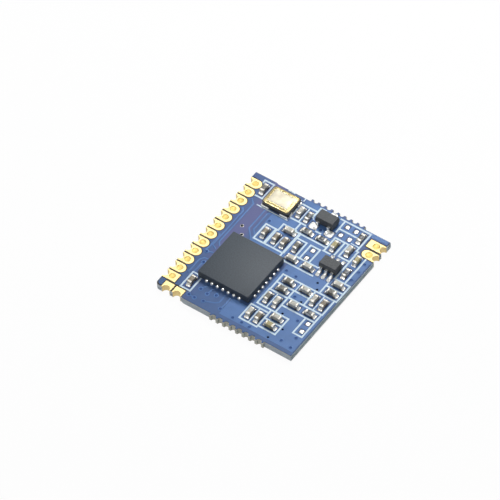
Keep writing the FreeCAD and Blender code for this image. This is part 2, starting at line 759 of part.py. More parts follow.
def end_fillet(climb):
    """Solder on the +X end: a film under the metal end and a ramp up its end face to a climb."""
    end = size("chip_length") / 2
    film = size("solder_film")
    inner = end - size("end_length")
    outer = end + size("fillet_reach")
    width = size("land_width")
    profile = [(inner, 0), (outer, 0), (end, film + climb), (end, film), (inner, film)]
    corners = [Vector(x, -width / 2, z) for x, z in profile]
    return Part.Face(Part.makePolygon(corners + corners[:1])).extrude(Vector(0, width, 0))


fillets = []
for places, climb in (
    (CAPACITORS, size("fillet_height")),
    (RESISTORS, size("fillet_height") * size("resistor_height") / size("capacitor_height")),
):
    shape = end_fillet(climb)
    for x, y, upright in places:
        for turn in (0, 180):
            fillets.append(placed(shape, spot(x, y, top), turn + (90 if upright else 0)))
keep_shape("solder_fillets", Part.makeCompound(fillets))

# Radio chip: a flat moulded square on a ring of flush leads.
RADIO_AT = (6.0, 6.03)
radio_z = f"{TOP} + Sizes.solder_film"
radio_lead = Part.makeBox(
    size("radio_lead_length") + size("radio_lead_stand"),
    size("radio_lead_width"),
    size("radio_lead_height"),
    Vector(size("radio_side") / 2 - size("radio_lead_length"), -size("radio_lead_width") / 2, 0),
)
leads_a_side = int(size("radio_leads_a_side"))
radio_leads = []
for turn in (0, 90, 180, 270):
    for n in range(leads_a_side):
        lead = radio_lead.copy()
        lead.translate(Vector(0, (n - (leads_a_side - 1) / 2) * size("radio_pitch"), 0))
        lead.rotate(Vector(0, 0, 0), Z_AXIS, turn)
        lead.translate(spot(*RADIO_AT, top + size("solder_film")))
        radio_leads.append(lead)
lead_ring = keep_shape("radio_chip_leads", Part.makeCompound(radio_leads))

moulding = doc.addObject("PartDesign::Body", "radio_chip_moulding")
square = new_sketch(moulding, "radio_chip_square", radio_z)
low_x = f"{across(RADIO_AT[0])} - Sizes.radio_side / 2"
low_y = f"{along(RADIO_AT[1])} - Sizes.radio_side / 2"
high_x = f"{across(RADIO_AT[0])} + Sizes.radio_side / 2"
high_y = f"{along(RADIO_AT[1])} + Sizes.radio_side / 2"
outline(square, [(low_x, low_y), (high_x, low_y), (high_x, high_y), (low_x, high_y)])
block = pad_up(moulding, square, "radio_chip_block", "Sizes.radio_height - Sizes.solder_film")
doc.recompute()
top_face = max(range(len(block.Shape.Faces)), key=lambda n: block.Shape.Faces[n].CenterOfMass.z)
edge = moulding.newObject("PartDesign::Chamfer", "radio_chip_edge")
edge.Base = (block, [f"Face{top_face + 1}"])
edge.setExpression("Size", "Sizes.radio_chamfer")
moulding.Tip = edge
radio_body = doc.addObject("Part::Cut", "radio_chip_body")
radio_body.Base = moulding
radio_body.Tool = lead_ring
keep(radio_body, "radio_chip_body")


# Crystal: ceramic base, sealing ring and welded lid, each a rounded rectangle on the last.
CRYSTAL_AT = (4.45, 15.05)


def rounded_slab(name, inset, low, height, wall=None):
    """A rounded rectangle stood in from the crystal's base by a rule, hollow if it has a wall."""
    body = new_body(name)
    sketch = new_sketch(body, f"{name}_outline", low)
    half_x = f"(Sizes.crystal_length / 2 - {inset})"
    half_y = f"(Sizes.crystal_width / 2 - {inset})"
    x = across(CRYSTAL_AT[0])
    y = along(CRYSTAL_AT[1])
    outline(
        sketch,
        [
            (f"{x} - {half_x}", f"{y} - {half_y}"),
            (f"{x} + {half_x}", f"{y} - {half_y}"),
            (f"{x} + {half_x}", f"{y} + {half_y}"),
            (f"{x} - {half_x}", f"{y} + {half_y}"),
        ],
    )
    pad = pad_up(body, sketch, f"{name}_pad", height)
    doc.recompute()
    upright = [
        f"Edge{n}"
        for n, edge in enumerate(pad.Shape.Edges, start=1)
        if abs(edge.Vertexes[0].Z - edge.Vertexes[-1].Z) > size("solder_film")
    ]
    rounding = body.newObject("PartDesign::Fillet", f"{name}_corners")
    rounding.Base = (pad, upright)
    rounding.setExpression("Radius", f"Sizes.crystal_round - {inset} / 2")
    body.Tip = rounding
    if wall:
        hollow = new_sketch(body, f"{name}_hollow", low)
        outline(
            hollow,
            [
                (f"{x} - {half_x} + {wall}", f"{y} - {half_y} + {wall}"),
                (f"{x} + {half_x} - {wall}", f"{y} - {half_y} + {wall}"),
                (f"{x} + {half_x} - {wall}", f"{y} + {half_y} - {wall}"),
                (f"{x} - {half_x} + {wall}", f"{y} + {half_y} - {wall}"),
            ],
        )
        body.Tip = drill(body, hollow, f"{name}_hollow_cut")
    return body


base_low = f"{TOP} + Sizes.solder_film"
ring_low = f"{base_low} + Sizes.crystal_base_height"
lid_low = f"{ring_low} + Sizes.crystal_ring_height"
rounded_slab("crystal_base", "0", base_low, "Sizes.crystal_base_height")
ring_inset = "Sizes.crystal_ring_inset"
lid_inset = "(Sizes.crystal_ring_inset + Sizes.crystal_lid_inset)"
ring_wall = "Sizes.crystal_ring_wall"
rounded_slab("crystal_ring", ring_inset, ring_low, "Sizes.crystal_ring_height", ring_wall)
rounded_slab("crystal_lid", lid_inset, lid_low, "Sizes.crystal_lid_height")
crystal_solder = []
for side_x in (-1, 1):
    for side_y in (-1, 1):
        out = size("crystal_solder_stand")
        length = size("crystal_solder_length")
        width = size("crystal_solder_width")
        off_x = side_x * (size("crystal_length") / 2 + out - length / 2)
        off_y = side_y * (size("crystal_width") / 2 + out - width / 2)
        low = spot(*CRYSTAL_AT, top) + Vector(off_x - length / 2, off_y - width / 2, 0)
        crystal_solder.append(Part.makeBox(length, width, size("solder_film"), low))
keep_shape("crystal_solder", Part.makeCompound(crystal_solder))

# No ink is printed on a land or where solder lies.
bare = Part.makeCompound(spare + under_leads + windows + fillets + crystal_solder)
keep_shape("legend_print", legend.cut(bare))


# Moulded parts with bent leads: the body leans in above and below the plane of its leads.


def lead_shape():
    """One bent lead along +Y, from the body's side at Y = 0 down to the board at Z = 0."""
    thick = size("lead_thick")
    reach = size("lead_reach")
    foot = size("lead_foot")
    exit_top = size("lead_exit")
    film = size("solder_film")
    knee = reach - foot
    points = [
        (0, exit_top - thick),
        (knee - thick, exit_top - thick),
        (knee - thick / 2, film + size("pad_rise")),
        (reach, film + size("pad_rise")),
        (reach, film + size("pad_rise") + thick),
        (knee + thick / 2, film + size("pad_rise") + thick),
        (knee, exit_top),
        (0, exit_top),
    ]
    width = size("lead_width")
    corners = [Vector(-width / 2, y, z) for y, z in points]
    face = Part.Face(Part.makePolygon(corners + corners[:1]))
    return face.extrude(Vector(width, 0, 0))


def moulded_part(name, place, length, lead_places):
    """The body and its leads, each lead given as (along the body, which side)."""
    middle = size("lead_exit") - size("lead_thick") / 2
    low = size("moulded_gap")
    high = size("moulded_height") + size("moulded_gap")
    width = size("moulded_width")
    draft = size("moulded_draft")
    sections = []
    for z, inset in ((low, draft), (middle, 0), (high, draft)):
        half_x = length / 2 - inset
        half_y = width / 2 - inset
        corners = [(-half_x, -half_y), (half_x, -half_y), (half_x, half_y), (-half_x, half_y)]
        points = [Vector(x, y, z) for x, y in corners]
        sections.append(Part.makePolygon(points + points[:1]))
    body = Part.makeLoft(sections[:2], True, True).fuse(Part.makeLoft(sections[1:], True, True))
    lead = lead_shape()
    leads = []
    for x, side in lead_places:
        turned = lead.copy()
        turned.translate(Vector(0, width / 2, 0))
        if side < 0:
            turned.rotate(Vector(0, 0, 0), Z_AXIS, 180)
        turned.translate(Vector(x, 0, 0))
        leads.append(turned)
    group = Part.makeCompound(leads)
    # each lead is moulded in a little way, as far as the side leans
    keep_shape(f"{name}_body", placed(body.removeSplitter().cut(group), spot(*place, top)))
    keep_shape(f"{name}_leads", placed(group, spot(*place, top)))


moulded_part("transistor", TRANSISTOR_AT, size("transistor_length"), transistor_places)
moulded_part("switch_chip", SWITCH_AT, size("switch_length"), switch_places)

doc.recompute()
bad_states = {"Invalid", "Error"}
faults = [f"{thing.Name}: {thing.State}" for thing in doc.Objects if bad_states & set(thing.State)]
for node in NODES:
    if node.Shape.isNull() or not node.Shape.isValid() or node.Shape.Volume <= 0:
        faults.append(f"{node.Label}: no valid solid")
if faults:
    raise RuntimeError("; ".join(faults))

os.makedirs("parts", exist_ok=True)
for node in NODES:
    node.Shape.exportStep(f"parts/{node.Label}.step")
print(f"{len(NODES)} sub-parts written")
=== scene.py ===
"""Looks of the radio module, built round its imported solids: mask, tracks, print, plated pads,
ceramic parts, solder joints and the moulded chips. Run as a script; never installed."""
import math
import random

import bmesh
import bpy
from bpy.props import FloatProperty, FloatVectorProperty, IntProperty, PointerProperty
from mathutils import Matrix, Vector


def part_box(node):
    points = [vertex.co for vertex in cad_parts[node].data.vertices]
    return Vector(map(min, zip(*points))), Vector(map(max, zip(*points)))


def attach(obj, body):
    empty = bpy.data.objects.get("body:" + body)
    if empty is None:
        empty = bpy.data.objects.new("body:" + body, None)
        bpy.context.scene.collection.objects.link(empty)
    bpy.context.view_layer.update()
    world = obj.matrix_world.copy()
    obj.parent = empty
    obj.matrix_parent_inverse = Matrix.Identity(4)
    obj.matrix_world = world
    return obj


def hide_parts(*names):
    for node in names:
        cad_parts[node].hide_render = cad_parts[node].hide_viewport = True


bl_info = {
    "name": "Radio module looks",
    "version": (1, 0, 0),
    "blender": (4, 5, 0),
    "location": "3D View > Sidebar > Radio module",
    "description": "Dresses the radio module's solids with mask, tracks, print, solder and chips",
    "category": "Object",
}

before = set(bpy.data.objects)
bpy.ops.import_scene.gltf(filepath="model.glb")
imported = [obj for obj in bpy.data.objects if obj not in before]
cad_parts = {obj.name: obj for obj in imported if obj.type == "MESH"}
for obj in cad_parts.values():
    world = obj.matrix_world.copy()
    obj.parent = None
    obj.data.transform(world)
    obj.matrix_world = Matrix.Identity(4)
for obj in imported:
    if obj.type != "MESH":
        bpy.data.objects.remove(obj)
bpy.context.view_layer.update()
MM = 0.001

# Places are (across, along, height) in millimetres: across from the edge with twelve pads, along
# from the lower routed edge, height above the top of the board.
mask_low, mask_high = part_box("solder_mask_top")
TO_FRAME = Matrix.Translation((mask_low.x, mask_low.y, mask_high.z)) @ Matrix.Scale(MM, 4)
FROM_FRAME = TO_FRAME.inverted()


def node_box(node):
    """Lowest and highest corners of a CAD node as places on the board."""
    low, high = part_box(node)
    return FROM_FRAME @ low, FROM_FRAME @ high


BOARD_WIDTH, BOARD_LENGTH, MASK_THICK = (mask_high - mask_low) / MM
STUB_LOW, STUB_HIGH = (corner.y for corner in node_box("board_laminate"))
# corners nearer than this are one, and the foot of what stands on the mask is sunk this deep in it
WELD = 0.0005
SUNK = -0.01
# edges that turn by more degrees stay sharp, on flat plates and on the crystal
FLAT_SHARP = 12
ROUND_SHARP = 60

# the routed outline and the broken stubs on the two long edges
EDGE_STEP = 0.1
STEP_SLOPE = 0.3
LOWER_STEP_AT = 3.1
UPPER_STEP_AT = 2.5
CORNER_ROUND = 0.4
STUB_START = 6.62
FIRST_BITE_IN = 0.5
BITE_PITCH = 0.77
BITE_COUNT = 8
BITE_ROUND = 0.25
STUB_END = STUB_START + 2 * FIRST_BITE_IN + (BITE_COUNT - 1) * BITE_PITCH

# the pads, read from their solids
pin_one_low, pin_one_high = node_box("pin_one_pad")
row_high = node_box("edge_pads")[1]
corner_low, corner_high = node_box("corner_pads")
aerial_low, aerial_high = node_box("antenna_pad")
ground_low, ground_high = node_box("antenna_ground_pad")
PAD_CLEAR = 0.09
PAD_COUNT = 12
PAD_WIDTH = pin_one_high.y - pin_one_low.y
PAD_REACH = row_high.x
FIRST_PAD = (pin_one_low.y + pin_one_high.y) / 2
HOLE_IN = 0.87
HOLE_ROUND = 0.34
AERIAL_HOLE_ROUND = 0.38
PAD_PITCH = (row_high.y - PAD_WIDTH / 2 - FIRST_PAD) / (PAD_COUNT - 1)

# middles of the empty lands and of the vias, and the points where each track starts, turns and ends
SPARE_LANDS = [
    (15.27, 4.15), (15.3, 3.05), (10.43, 11.87), (10.45, 10.76), (11.56, 16.15), (12.6, 16.15),
    (11.56, 14.97), (12.6, 14.97),
]
SPARE_LAND_SIDE = (0.42, 0.44)
RINGED_VIAS = [(2.85, 10.61), (3.47, 9.68)]
OPEN_VIAS = [(12.47, 3.83), (13.15, 5.98), (13.11, 8.82), (13.56, 8.09), (12.98, 0.69), (13.6, 2.24)]
TENTED_VIAS = [
    (4.12, 1.95), (5.0, 1.78), (5.86, 2.09), (5.2, 0.83), (4.22, 0.72), (3.55, 0.75),
    (7.14, 0.98), (8.76, 0.75), (9.83, 0.75), (10.78, 0.73), (14.29, 1.08), (15.53, 0.83),
    (15.3, 2.09), (14.2, 3.89), (9.73, 8.4), (10.93, 8.28), (12.28, 6.17), (15.63, 13.2),
    (15.69, 12.08), (15.65, 10.9), (4.73, 12.58), (1.84, 6.07), (2.4, 4.8), (9.58, 14.38),
]
TRACKS = [
    [(1.6, 14.0), (2.15, 13.5), (2.15, 7.75), (2.5, 7.3)],
    [(1.55, 12.55), (1.83, 12.2), (1.83, 7.1), (2.4, 6.8)],
    [(3.58, 13.5), (3.58, 10.75), (4.5, 9.75)],
    [(4.35, 13.45), (4.05, 13.2), (4.05, 10.9), (4.6, 10.25)],
    [(1.84, 6.07), (2.5, 6.3)],
    [(1.85, 3.0), (1.85, 4.9), (2.15, 5.3), (2.6, 5.35)],
    [(2.3, 3.4), (2.3, 4.4), (2.5, 4.8), (2.7, 4.9)],
    [(5.2, 0.83), (6.3, 1.3), (6.6, 1.6), (6.6, 2.6)],
    [(7.14, 0.98), (7.2, 1.6), (7.2, 2.6)],
    [(5.0, 1.78), (5.1, 2.6)],
    [(4.12, 1.95), (4.45, 2.6)],
    [(5.86, 2.09), (5.75, 2.6)],
    [(1.62, 8.6), (1.72, 8.4), (1.72, 6.5), (1.6, 6.2)],
    [(3.55, 0.75), (4.22, 0.72)],
]
# copper filled in round the parts: one ring of corners, kept clear of the chip and the aerial pad
FILL = [
    (7.35, 0.45), (16.0, 0.45), (16.0, 13.7), (14.15, 13.7), (14.15, 16.42), (16.0, 16.42),
    (16.0, 16.85), (6.3, 16.85), (6.3, 13.5), (4.45, 13.5), (4.45, 9.35), (9.35, 9.35),
    (9.35, 2.7), (7.35, 2.7),
]
# print that isn't an even line: bars that thicken, and the mark at the chip's corner
PRINT_SHAPES = [
    [(8.03, 10.0), (8.3, 10.0), (8.33, 12.95), (8.03, 12.95)],
    [(5.77, 9.98), (6.08, 9.98), (6.08, 12.1), (5.77, 12.1)],
    [(8.62, 8.85), (8.95, 9.15), (8.95, 9.35), (8.72, 9.42)],
    [(10.46, 9.3), (10.54, 9.3), (10.54, 9.85), (10.46, 9.85)],
    [(7.97, 15.3), (8.2, 15.05), (8.3, 15.12), (8.09, 15.36)],
]

CAPACITOR_SHADES = (
    "brown beige brown beige ochre grey beige grey grey beige beige brown beige grey beige "
    "ochre beige ochre grey beige beige brown brown brown beige beige grey"
).split()
RESISTOR_COUNT = 6
LEADS_A_SIDE = 7
LEAD_PITCH = 0.65
LEAD_WIDTH = 0.3
# a chip part's metal end, its joint, and the bare room beside both
END_LENGTH = 0.24
FILLET_REACH = 0.24
JOINT_ROOM = 0.02
BESIDE_ROOM = 0.05
# a bent lead's foot: half its width, and how far its solder starts inside its end
HALF_FOOT = 0.14
FOOT_LENGTH = 0.26
# the crystal's rounded corners, and the steps between the points round it
RING_CORNER = 0.3
LOOP_STEP = 0.028

# where the photograph's camera stood and aimed, in millimetres, its roll in degrees and its lens
CAMERA_AT = (201.79, -261.19, 406.11)
CAMERA_AIM = (-2.8, 0.04, 0.8)
CAMERA_ROLL = -3.4
CAMERA_LENS = 387.4


def linear(hex_code):
    """Turns an sRGB hex value to linear red, green and blue."""
    values = [int(hex_code[i : i + 2], 16) / 255 for i in (1, 3, 5)]
    return tuple(v / 12.92 if v <= 0.04045 else ((v + 0.055) / 1.055) ** 2.4 for v in values)


def length(name, meaning, millimetres):
    """A length that a user may change, given in millimetres."""
    value = millimetres * MM
    return FloatProperty(name=name, description=meaning, default=value, min=0, precision=6, unit="LENGTH")


def tint(name, meaning, hex_code):
    """A colour that a user may change."""
    return FloatVectorProperty(
        name=name, description=meaning, subtype="COLOR", size=3, min=0, max=1, default=linear(hex_code)
    )


class ModuleSizes(bpy.types.PropertyGroup):
    """Sizes of what is added to the solids."""

    mask_rim: length("Mask rim", "Bare laminate left along the routed edges", 0.035)
    track_width: length("Track width", "Width of a track as it shows under the mask", 0.17)
    track_height: length("Track height", "How far a track lifts the mask", 0.018)
    fill_height: length("Fill height", "How far filled copper lifts the mask", 0.012)
    land_room: length("Land room", "Room between filled copper and a mask opening", 0.08)
    via_round: length("Via radius", "Radius of a drilled via", 0.13)
    web_depth: length("Web depth", "Depth of the plating seen in a pad's hole", 0.07)
    cap_edge: length("Cap edge", "Rounding of a metal end", 0.065)
    ceramic_edge: length("Ceramic edge", "Rounding of a ceramic block", 0.03)
    joint_climb: length("Joint climb", "How far solder climbs a capacitor's end", 0.38)
    land_crown: length("Land crown", "Height of the solder on an empty land", 0.035)
    chip_edge: length("Chip edge", "Rounding of the radio chip's edges", 0.06)
    lead_reach: length("Lead reach", "How far a lead's solder stands out from the radio chip", 0.19)
    lead_climb: length("Lead climb", "How far solder climbs the radio chip's leads", 0.26)
    ripple_count: IntProperty(name="Weld ripples", description="Ripples round the crystal", default=64, min=0)
    ripple_height: length("Weld ripple height", "Height of a ripple in the crystal's seam weld", 0.026)


class ModuleColours(bpy.types.PropertyGroup):
    """Colours of the module's finishes."""

    mask_copper: tint("Mask over copper", "Blue mask where copper lies under it", "#5B82BC")
    mask_bare: tint("Mask over laminate", "Blue mask where the laminate lies under it", "#4C6B9C")
    ink: tint("Legend ink", "Printed legend", "#DCF0FF")
    laminate: tint("Laminate edge", "Routed edge of the board", "#BCC3C8")
    gold: tint("Pad gold", "Gold on the pads", "#D6C28E")
    solder: tint("Solder", "Tin solder", "#E8E7E1")
    epoxy: tint("Mould epoxy", "Top of the moulded chips", "#3A434C")
    lid: tint("Crystal lid", "Nickel lid of the crystal", "#B0AA98")


def sizes():
    """The sizes as they are set in the scene."""
    return bpy.context.scene.module_sizes


def colours():
    """The colours as they are set in the scene."""
    return bpy.context.scene.module_colours


def shade_of(colour, factor):
    """The same colour, darker or lighter."""
    return tuple(min(1.0, channel * factor) for channel in colour)


def add(tree, kind, values=None, links=None, **settings):
    """Adds a node with its settings, its socket values and its links (socket: (node, output))."""
    node = tree.nodes.new(kind)
    for name, value in settings.items():
        setattr(node, name, value)
    for socket, value in (values or {}).items():
        node.inputs[socket].default_value = value
    for socket, (source, output) in (links or {}).items():
        tree.links.new(source.outputs[output], node.inputs[socket])
    return node


def new_finish(name):
    """A new material with its nodes cleared, and its shader and output in place."""
    made = bpy.data.materials.new(name)
    made.use_nodes = True
    tree = made.node_tree
    tree.nodes.clear()
    shader = add(tree, "ShaderNodeBsdfPrincipled")
    add(tree, "ShaderNodeOutputMaterial", links={"Surface": (shader, "BSDF")})
    return made, tree, shader


def first_node(tree, kind):
    """The first node of a kind, such as a finish's shader or its output."""
    return next(node for node in tree.nodes if node.bl_idname == kind)


def grain(tree, millimetres, detail=3.0):
    """Noise whose grains are this far apart on the real surface."""
    place = add(tree, "ShaderNodeTexCoord")
    values = {"Scale": 1 / (millimetres * MM), "Detail": detail, "Roughness": 0.55}
    return add(tree, "ShaderNodeTexNoise", values, {"Vector": (place, "Object")})


def ramp(tree, source, socket, stops):
    """Tones along a value, from stops of (position, linear colour) at both ends and between."""
    made = add(tree, "ShaderNodeValToRGB", links={"Fac": (source, socket)})
    ends = made.color_ramp.elements
    for stop, (position, tone) in zip(ends, (stops[0], stops[-1])):
        stop.position = position
        stop.color = (*tone, 1)
    for position, tone in stops[1:-1]:
        ends.new(position).color = (*tone, 1)
    return made


def relief(tree, shader, noise, millimetres):
    """Bump from a noise, this high on the real surface."""
    bump = add(tree, "ShaderNodeBump", {"Distance": millimetres * MM}, {"Height": (noise, "Fac")})
    tree.links.new(bump.outputs["Normal"], shader.inputs["Normal"])


def polish(tree, shader, noise, low, high):
    """Roughness that varies between two values with a noise."""
    values = {"From Min": 0.3, "From Max": 0.7, "To Min": low, "To Max": high}
    span = add(tree, "ShaderNodeMapRange", values, {"Value": (noise, "Fac")})
    tree.links.new(span.outputs["Result"], shader.inputs["Roughness"])


def two(dark, light):
    """Two fixed tones, from sRGB hex values."""
    return linear(dark), linear(light)


def around(name, dark, light):
    """A darker and a lighter tone of a colour that a user may change."""
    colour = getattr(colours(), name)
    return shade_of(colour, dark), shade_of(colour, light)


def surface(name, tones, spread, bump, rough, metallic=0.0, specular=0.5, detail=3.0):
    """A finish whose two tones change over a distance. The bumps are (apart, high), in
    millimetres too, and the roughness is one value or varies between two."""
    made, tree, shader = new_finish(name)
    tone = ramp(tree, grain(tree, spread, detail), "Fac", [(0.35, tones[0]), (0.65, tones[1])])
    tree.links.new(tone.outputs["Color"], shader.inputs["Base Color"])
    shader.inputs["Metallic"].default_value = metallic
    shader.inputs["Specular IOR Level"].default_value = specular
    if bump:
        fine = grain(tree, bump[0])
        relief(tree, shader, fine, bump[1])
    if isinstance(rough, tuple):
        polish(tree, shader, fine, *rough)
    else:
        shader.inputs["Roughness"].default_value = rough
    return made


def mask_over_copper():
    # Cured blue film over etched copper: smooth and glossy, light because the copper shines through.
    tones = around("mask_copper", 0.92, 1.06)
    return surface("cured blue mask over copper", tones, 1.6, (0.12, 0.0015), (0.3, 0.42), specular=0.15)


def mask_over_laminate():
    # The same film over bare glass laminate: darker, with the weave's faint violet cast.
    tones = around("mask_bare", 0.94, 1.06)
    made = surface("cured blue mask over laminate", tones, 1.2, (0.1, 0.0015), (0.32, 0.45), specular=0.15)
    tree = made.node_tree
    place = add(tree, "ShaderNodeTexCoord")
    across = add(tree, "ShaderNodeSeparateXYZ", links={"Vector": (place, "Object")})
    # no copper on the far side either, in a band 2 to 4 mm from the pads' edge and above the middle
    share = None
    for axis, none_at, full_at in (("X", 1.9, 2.5), ("X", 4.1, 3.6), ("Y", 4.0, 8.5)):
        half = (BOARD_WIDTH if axis == "X" else BOARD_LENGTH) / 2
        ends = {"From Min": (none_at - half) * MM, "From Max": (full_at - half) * MM, "To Min": 0.25}
        edge = add(tree, "ShaderNodeMapRange", ends, {"Value": (across, axis)})
        links = {0: (edge, 0), 1: (share, 0)} if share else {0: (edge, 0)}
        share = add(tree, "ShaderNodeMath", {1: 1.0}, links, operation="MULTIPLY")
    blue = first_node(tree, "ShaderNodeValToRGB")
    links = {"Factor": (share, 0), 6: (blue, "Color")}
    tinged = add(tree, "ShaderNodeMix", {7: (*linear("#666C9C"), 1)}, links, data_type="RGBA")
    tree.links.new(tinged.outputs[2], first_node(tree, "ShaderNodeBsdfPrincipled").inputs["Base Color"])
    return made


def wall_tone(tree, place, spot, facing):
    """Tone of the laminate's cut wall: its plies, the torn stubs, and mask ink with painted shade, strongest
    on the wall that faces +X.
    """
    cut = colours().laminate
    # glass plies 0.1 mm thick, seen as bands
    values = {"Scale": 1 / (0.1 * MM) / 6.28, "Distortion": 1.5, "Detail": 2.0}
    plies = add(tree, "ShaderNodeTexWave", values, {"Vector": (place, "Object")}, bands_direction="Z")
    bands = ramp(tree, plies, "Fac", [(0.0, shade_of(cut, 0.95)), (1.0, shade_of(cut, 1.25))])
    # resin and glass dust make the torn stubs warmer
    middle = ((STUB_START + STUB_END) / 2 - BOARD_WIDTH / 2) * MM
    # the walls of the torn stubs are mixed toward a pale warm tone
    stub = {1: middle, 2: (STUB_END - STUB_START) / 2 * MM}
    along = add(tree, "ShaderNodeMath", stub, {0: (spot, "X")}, operation="COMPARE")
    tear = add(tree, "ShaderNodeMath", {1: 0.42}, {0: (along, 0)}, operation="MULTIPLY")
    links = {"Factor": (tear, 0), 6: (bands, "Color")}
    torn = add(tree, "ShaderNodeMix", {7: (*linear("#F0E2BE"), 1)}, links, data_type="RGBA")
    # mask ink and painted shade on the cut: tinted blue-grey and darkened along a ramp up its height, clear
    # at the top edge; most on the wall that faces +X, which lies in shade, a little on the others
    height = add(tree, "ShaderNodeMath", {1: 1 / mask_low.z}, {0: (spot, "Z")}, operation="MULTIPLY")
    tones = ((0.0, "#B9BBB4"), (0.1, "#E6EAE4"), (0.4, "#D3DCDC"), (0.62, "#A2B5BC"), (1.0, "#FFFFFF"))
    ink_and_painted_shade = ramp(tree, height, 0, [(position, linear(tone)) for position, tone in tones])
    right_facing = add(tree, "ShaderNodeMath", {1: 0.8}, {0: (facing, "X")}, operation="GREATER_THAN")
    shade_share = add(tree, "ShaderNodeMath", {1: 0.75, 2: 0.2}, {0: (right_facing, 0)}, operation="MULTIPLY_ADD")
    links = {"Factor": (shade_share, 0), 6: (torn, 2), 7: (ink_and_painted_shade, "Color")}
    return add(tree, "ShaderNodeMix", links=links, data_type="RGBA", blend_type="MULTIPLY")


def top_tone(tree, spot):
    """Tone of the laminate's bare top: dark, the laminate's own tone deepened by painted shade between and
    round the lands; pale on the rim outside the mask, a painted highlight where light catches the edge; and
    inked blue-grey on the rims of the two milled sides."""
    rim = sizes().mask_rim * 1.2
    near = []
    for axis, span in (("X", BOARD_WIDTH), ("Y", BOARD_LENGTH)):
        edge = {1: 1 / (span * MM / 2 - rim)}
        share = add(tree, "ShaderNodeMath", edge, {0: (spot, axis)}, operation="MULTIPLY")
        near.append(add(tree, "ShaderNodeMath", links={0: (share, 0)}, operation="ABSOLUTE"))
    most = add(tree, "ShaderNodeMath", links={0: (near[0], 0), 1: (near[1], 0)}, operation="MAXIMUM")
    outer = add(tree, "ShaderNodeMath", {1: 1.0}, {0: (most, 0)}, operation="GREATER_THAN")
    beside = add(tree, "ShaderNodeMath", {1: 1.0}, {0: (near[0], 0)}, operation="GREATER_THAN")
    # painted shade and light: the dark tone stands partly for shade between the lands, the pale tone on the
    # outer rim for light catching the edge
    tones = {6: (*linear("#34322A"), 1), 7: (*linear("#B5AC88"), 1)}
    shaded_top_and_lit_rim = add(tree, "ShaderNodeMix", tones, {"Factor": (outer, 0)}, data_type="RGBA")
    links = {"Factor": (beside, 0), 6: (shaded_top_and_lit_rim, 2)}
    return add(tree, "ShaderNodeMix", {7: (*linear("#64808F"), 1)}, links, data_type="RGBA")


def glass_laminate():
    # Routed glass laminate: layers of woven glass in resin, pale grey on the cut and brown on top, the top
    # deepened by painted shade.
    made, tree, shader = new_finish("routed glass laminate")
    place = add(tree, "ShaderNodeTexCoord")
    spot = add(tree, "ShaderNodeSeparateXYZ", links={"Vector": (place, "Object")})
    sides = add(tree, "ShaderNodeNewGeometry")
    facing = add(tree, "ShaderNodeSeparateXYZ", links={"Vector": (sides, "Normal")})
    flat = add(tree, "ShaderNodeMath", {1: 0.8}, {0: (facing, "Z")}, operation="GREATER_THAN")
    wall, top = wall_tone(tree, place, spot, facing), top_tone(tree, spot)
    links = {"Factor": (flat, 0), 6: (wall, 2), 7: (top, 2)}
    face = add(tree, "ShaderNodeMix", links=links, data_type="RGBA")
    tree.links.new(face.outputs[2], shader.inputs["Base Color"])
    # chips left by the router, about 0.08 mm
    relief(tree, shader, grain(tree, 0.08), 0.01)
    shader.inputs["Roughness"].default_value = 0.75
    return made


def pad_gold():
    # Thin gold over nickel on copper: soft matt metal that takes the light evenly.
    tones = around("gold", 0.93, 1.03)
    return surface("matt immersion gold", tones, 0.5, (0.04, 0.001), (0.55, 0.65), metallic=1.0)


def hole_gold():
    # The same gold inside a hole, as a darker, warmer copy of it: painted shade for the hole's depth and the
    # light it bounces between its walls.
    tones = two("#B39D5E", "#CEB976")
    return surface("immersion gold in a hole", tones, 0.3, (0.04, 0.001), (0.6, 0.7), metallic=1.0)


def legend_ink():
    # Screened epoxy ink: matt, a little uneven in thickness.
    return surface("screened white ink", around("ink", 0.9, 1.04), 0.3, (0.05, 0.002), 0.65)


def bright_solder():
    # Reflowed tin: bright, with the shallow frosting that cooling leaves.
    tones = around("solder", 0.8, 1.08)
    return surface("reflowed tin solder", tones, 0.15, (0.1, 0.045), (0.2, 0.36), metallic=0.75)


def tinned_end():
    # Barrel-plated tin on a chip part's ends: satin, a little warm.
    tones = two("#96938A", "#CCC9C0")
    return surface("barrel-plated tin", tones, 0.12, (0.05, 0.004), (0.4, 0.58), metallic=0.9)


def plated_lead():
    # Matt tin on a stamped copper lead: pale, with a soft shine along its bends.
    tones = two("#DADCD8", "#F4F4F1")
    return surface("stamped tinned lead", tones, 0.2, (0.05, 0.003), 0.14, metallic=0.6)


def wetted_land():
    # Solder spread thin over a flat land: frosted and pale, it scatters more than it mirrors.
    tones = two("#E2E4E1", "#FAFAF7")
    return surface("solder spread on a land", tones, 0.2, (0.08, 0.004), 0.45, metallic=0.2)


CERAMIC_TONES = {
    "brown_ceramic": ("#7D7363", "#988D7A"),
    "beige_ceramic": ("#BAB7AB", "#D3D1C8"),
    "ochre_ceramic": ("#A99E6E", "#C3B687"),
    "grey_ceramic": ("#67655D", "#87847A"),
}


def ceramic(slot):
    # Fired dielectric ceramic, tumbled: matt and finely grained.
    tones = two(*CERAMIC_TONES[slot])
    return surface(f"fired {slot.replace('_', ' ')}", tones, 0.09, (0.04, 0.003), 0.55)


def resistor_glaze():
    # Black glass glaze printed over the resistor's track: smooth and dark.
    return surface("black glass glaze", two("#33373B", "#4A4E53"), 0.15, (0.08, 0.002), 0.35)


def alumina():
    # Sintered alumina, the resistor's carrier: chalky white.
    return surface("sintered white alumina", two("#CFCEC8", "#E6E5E0"), 0.1, (0.04, 0.002), 0.6)


def mould_epoxy():
    # Silica-filled epoxy, moulded against an eroded tool: fine even sparkle of 0.12 mm grains, satin.
    tones = around("epoxy", 0.82, 1.2)
    name = "moulded silica-filled epoxy"
    return surface(name, tones, 0.12, (0.06, 0.004), (0.45, 0.6), specular=0.4, detail=2.0)


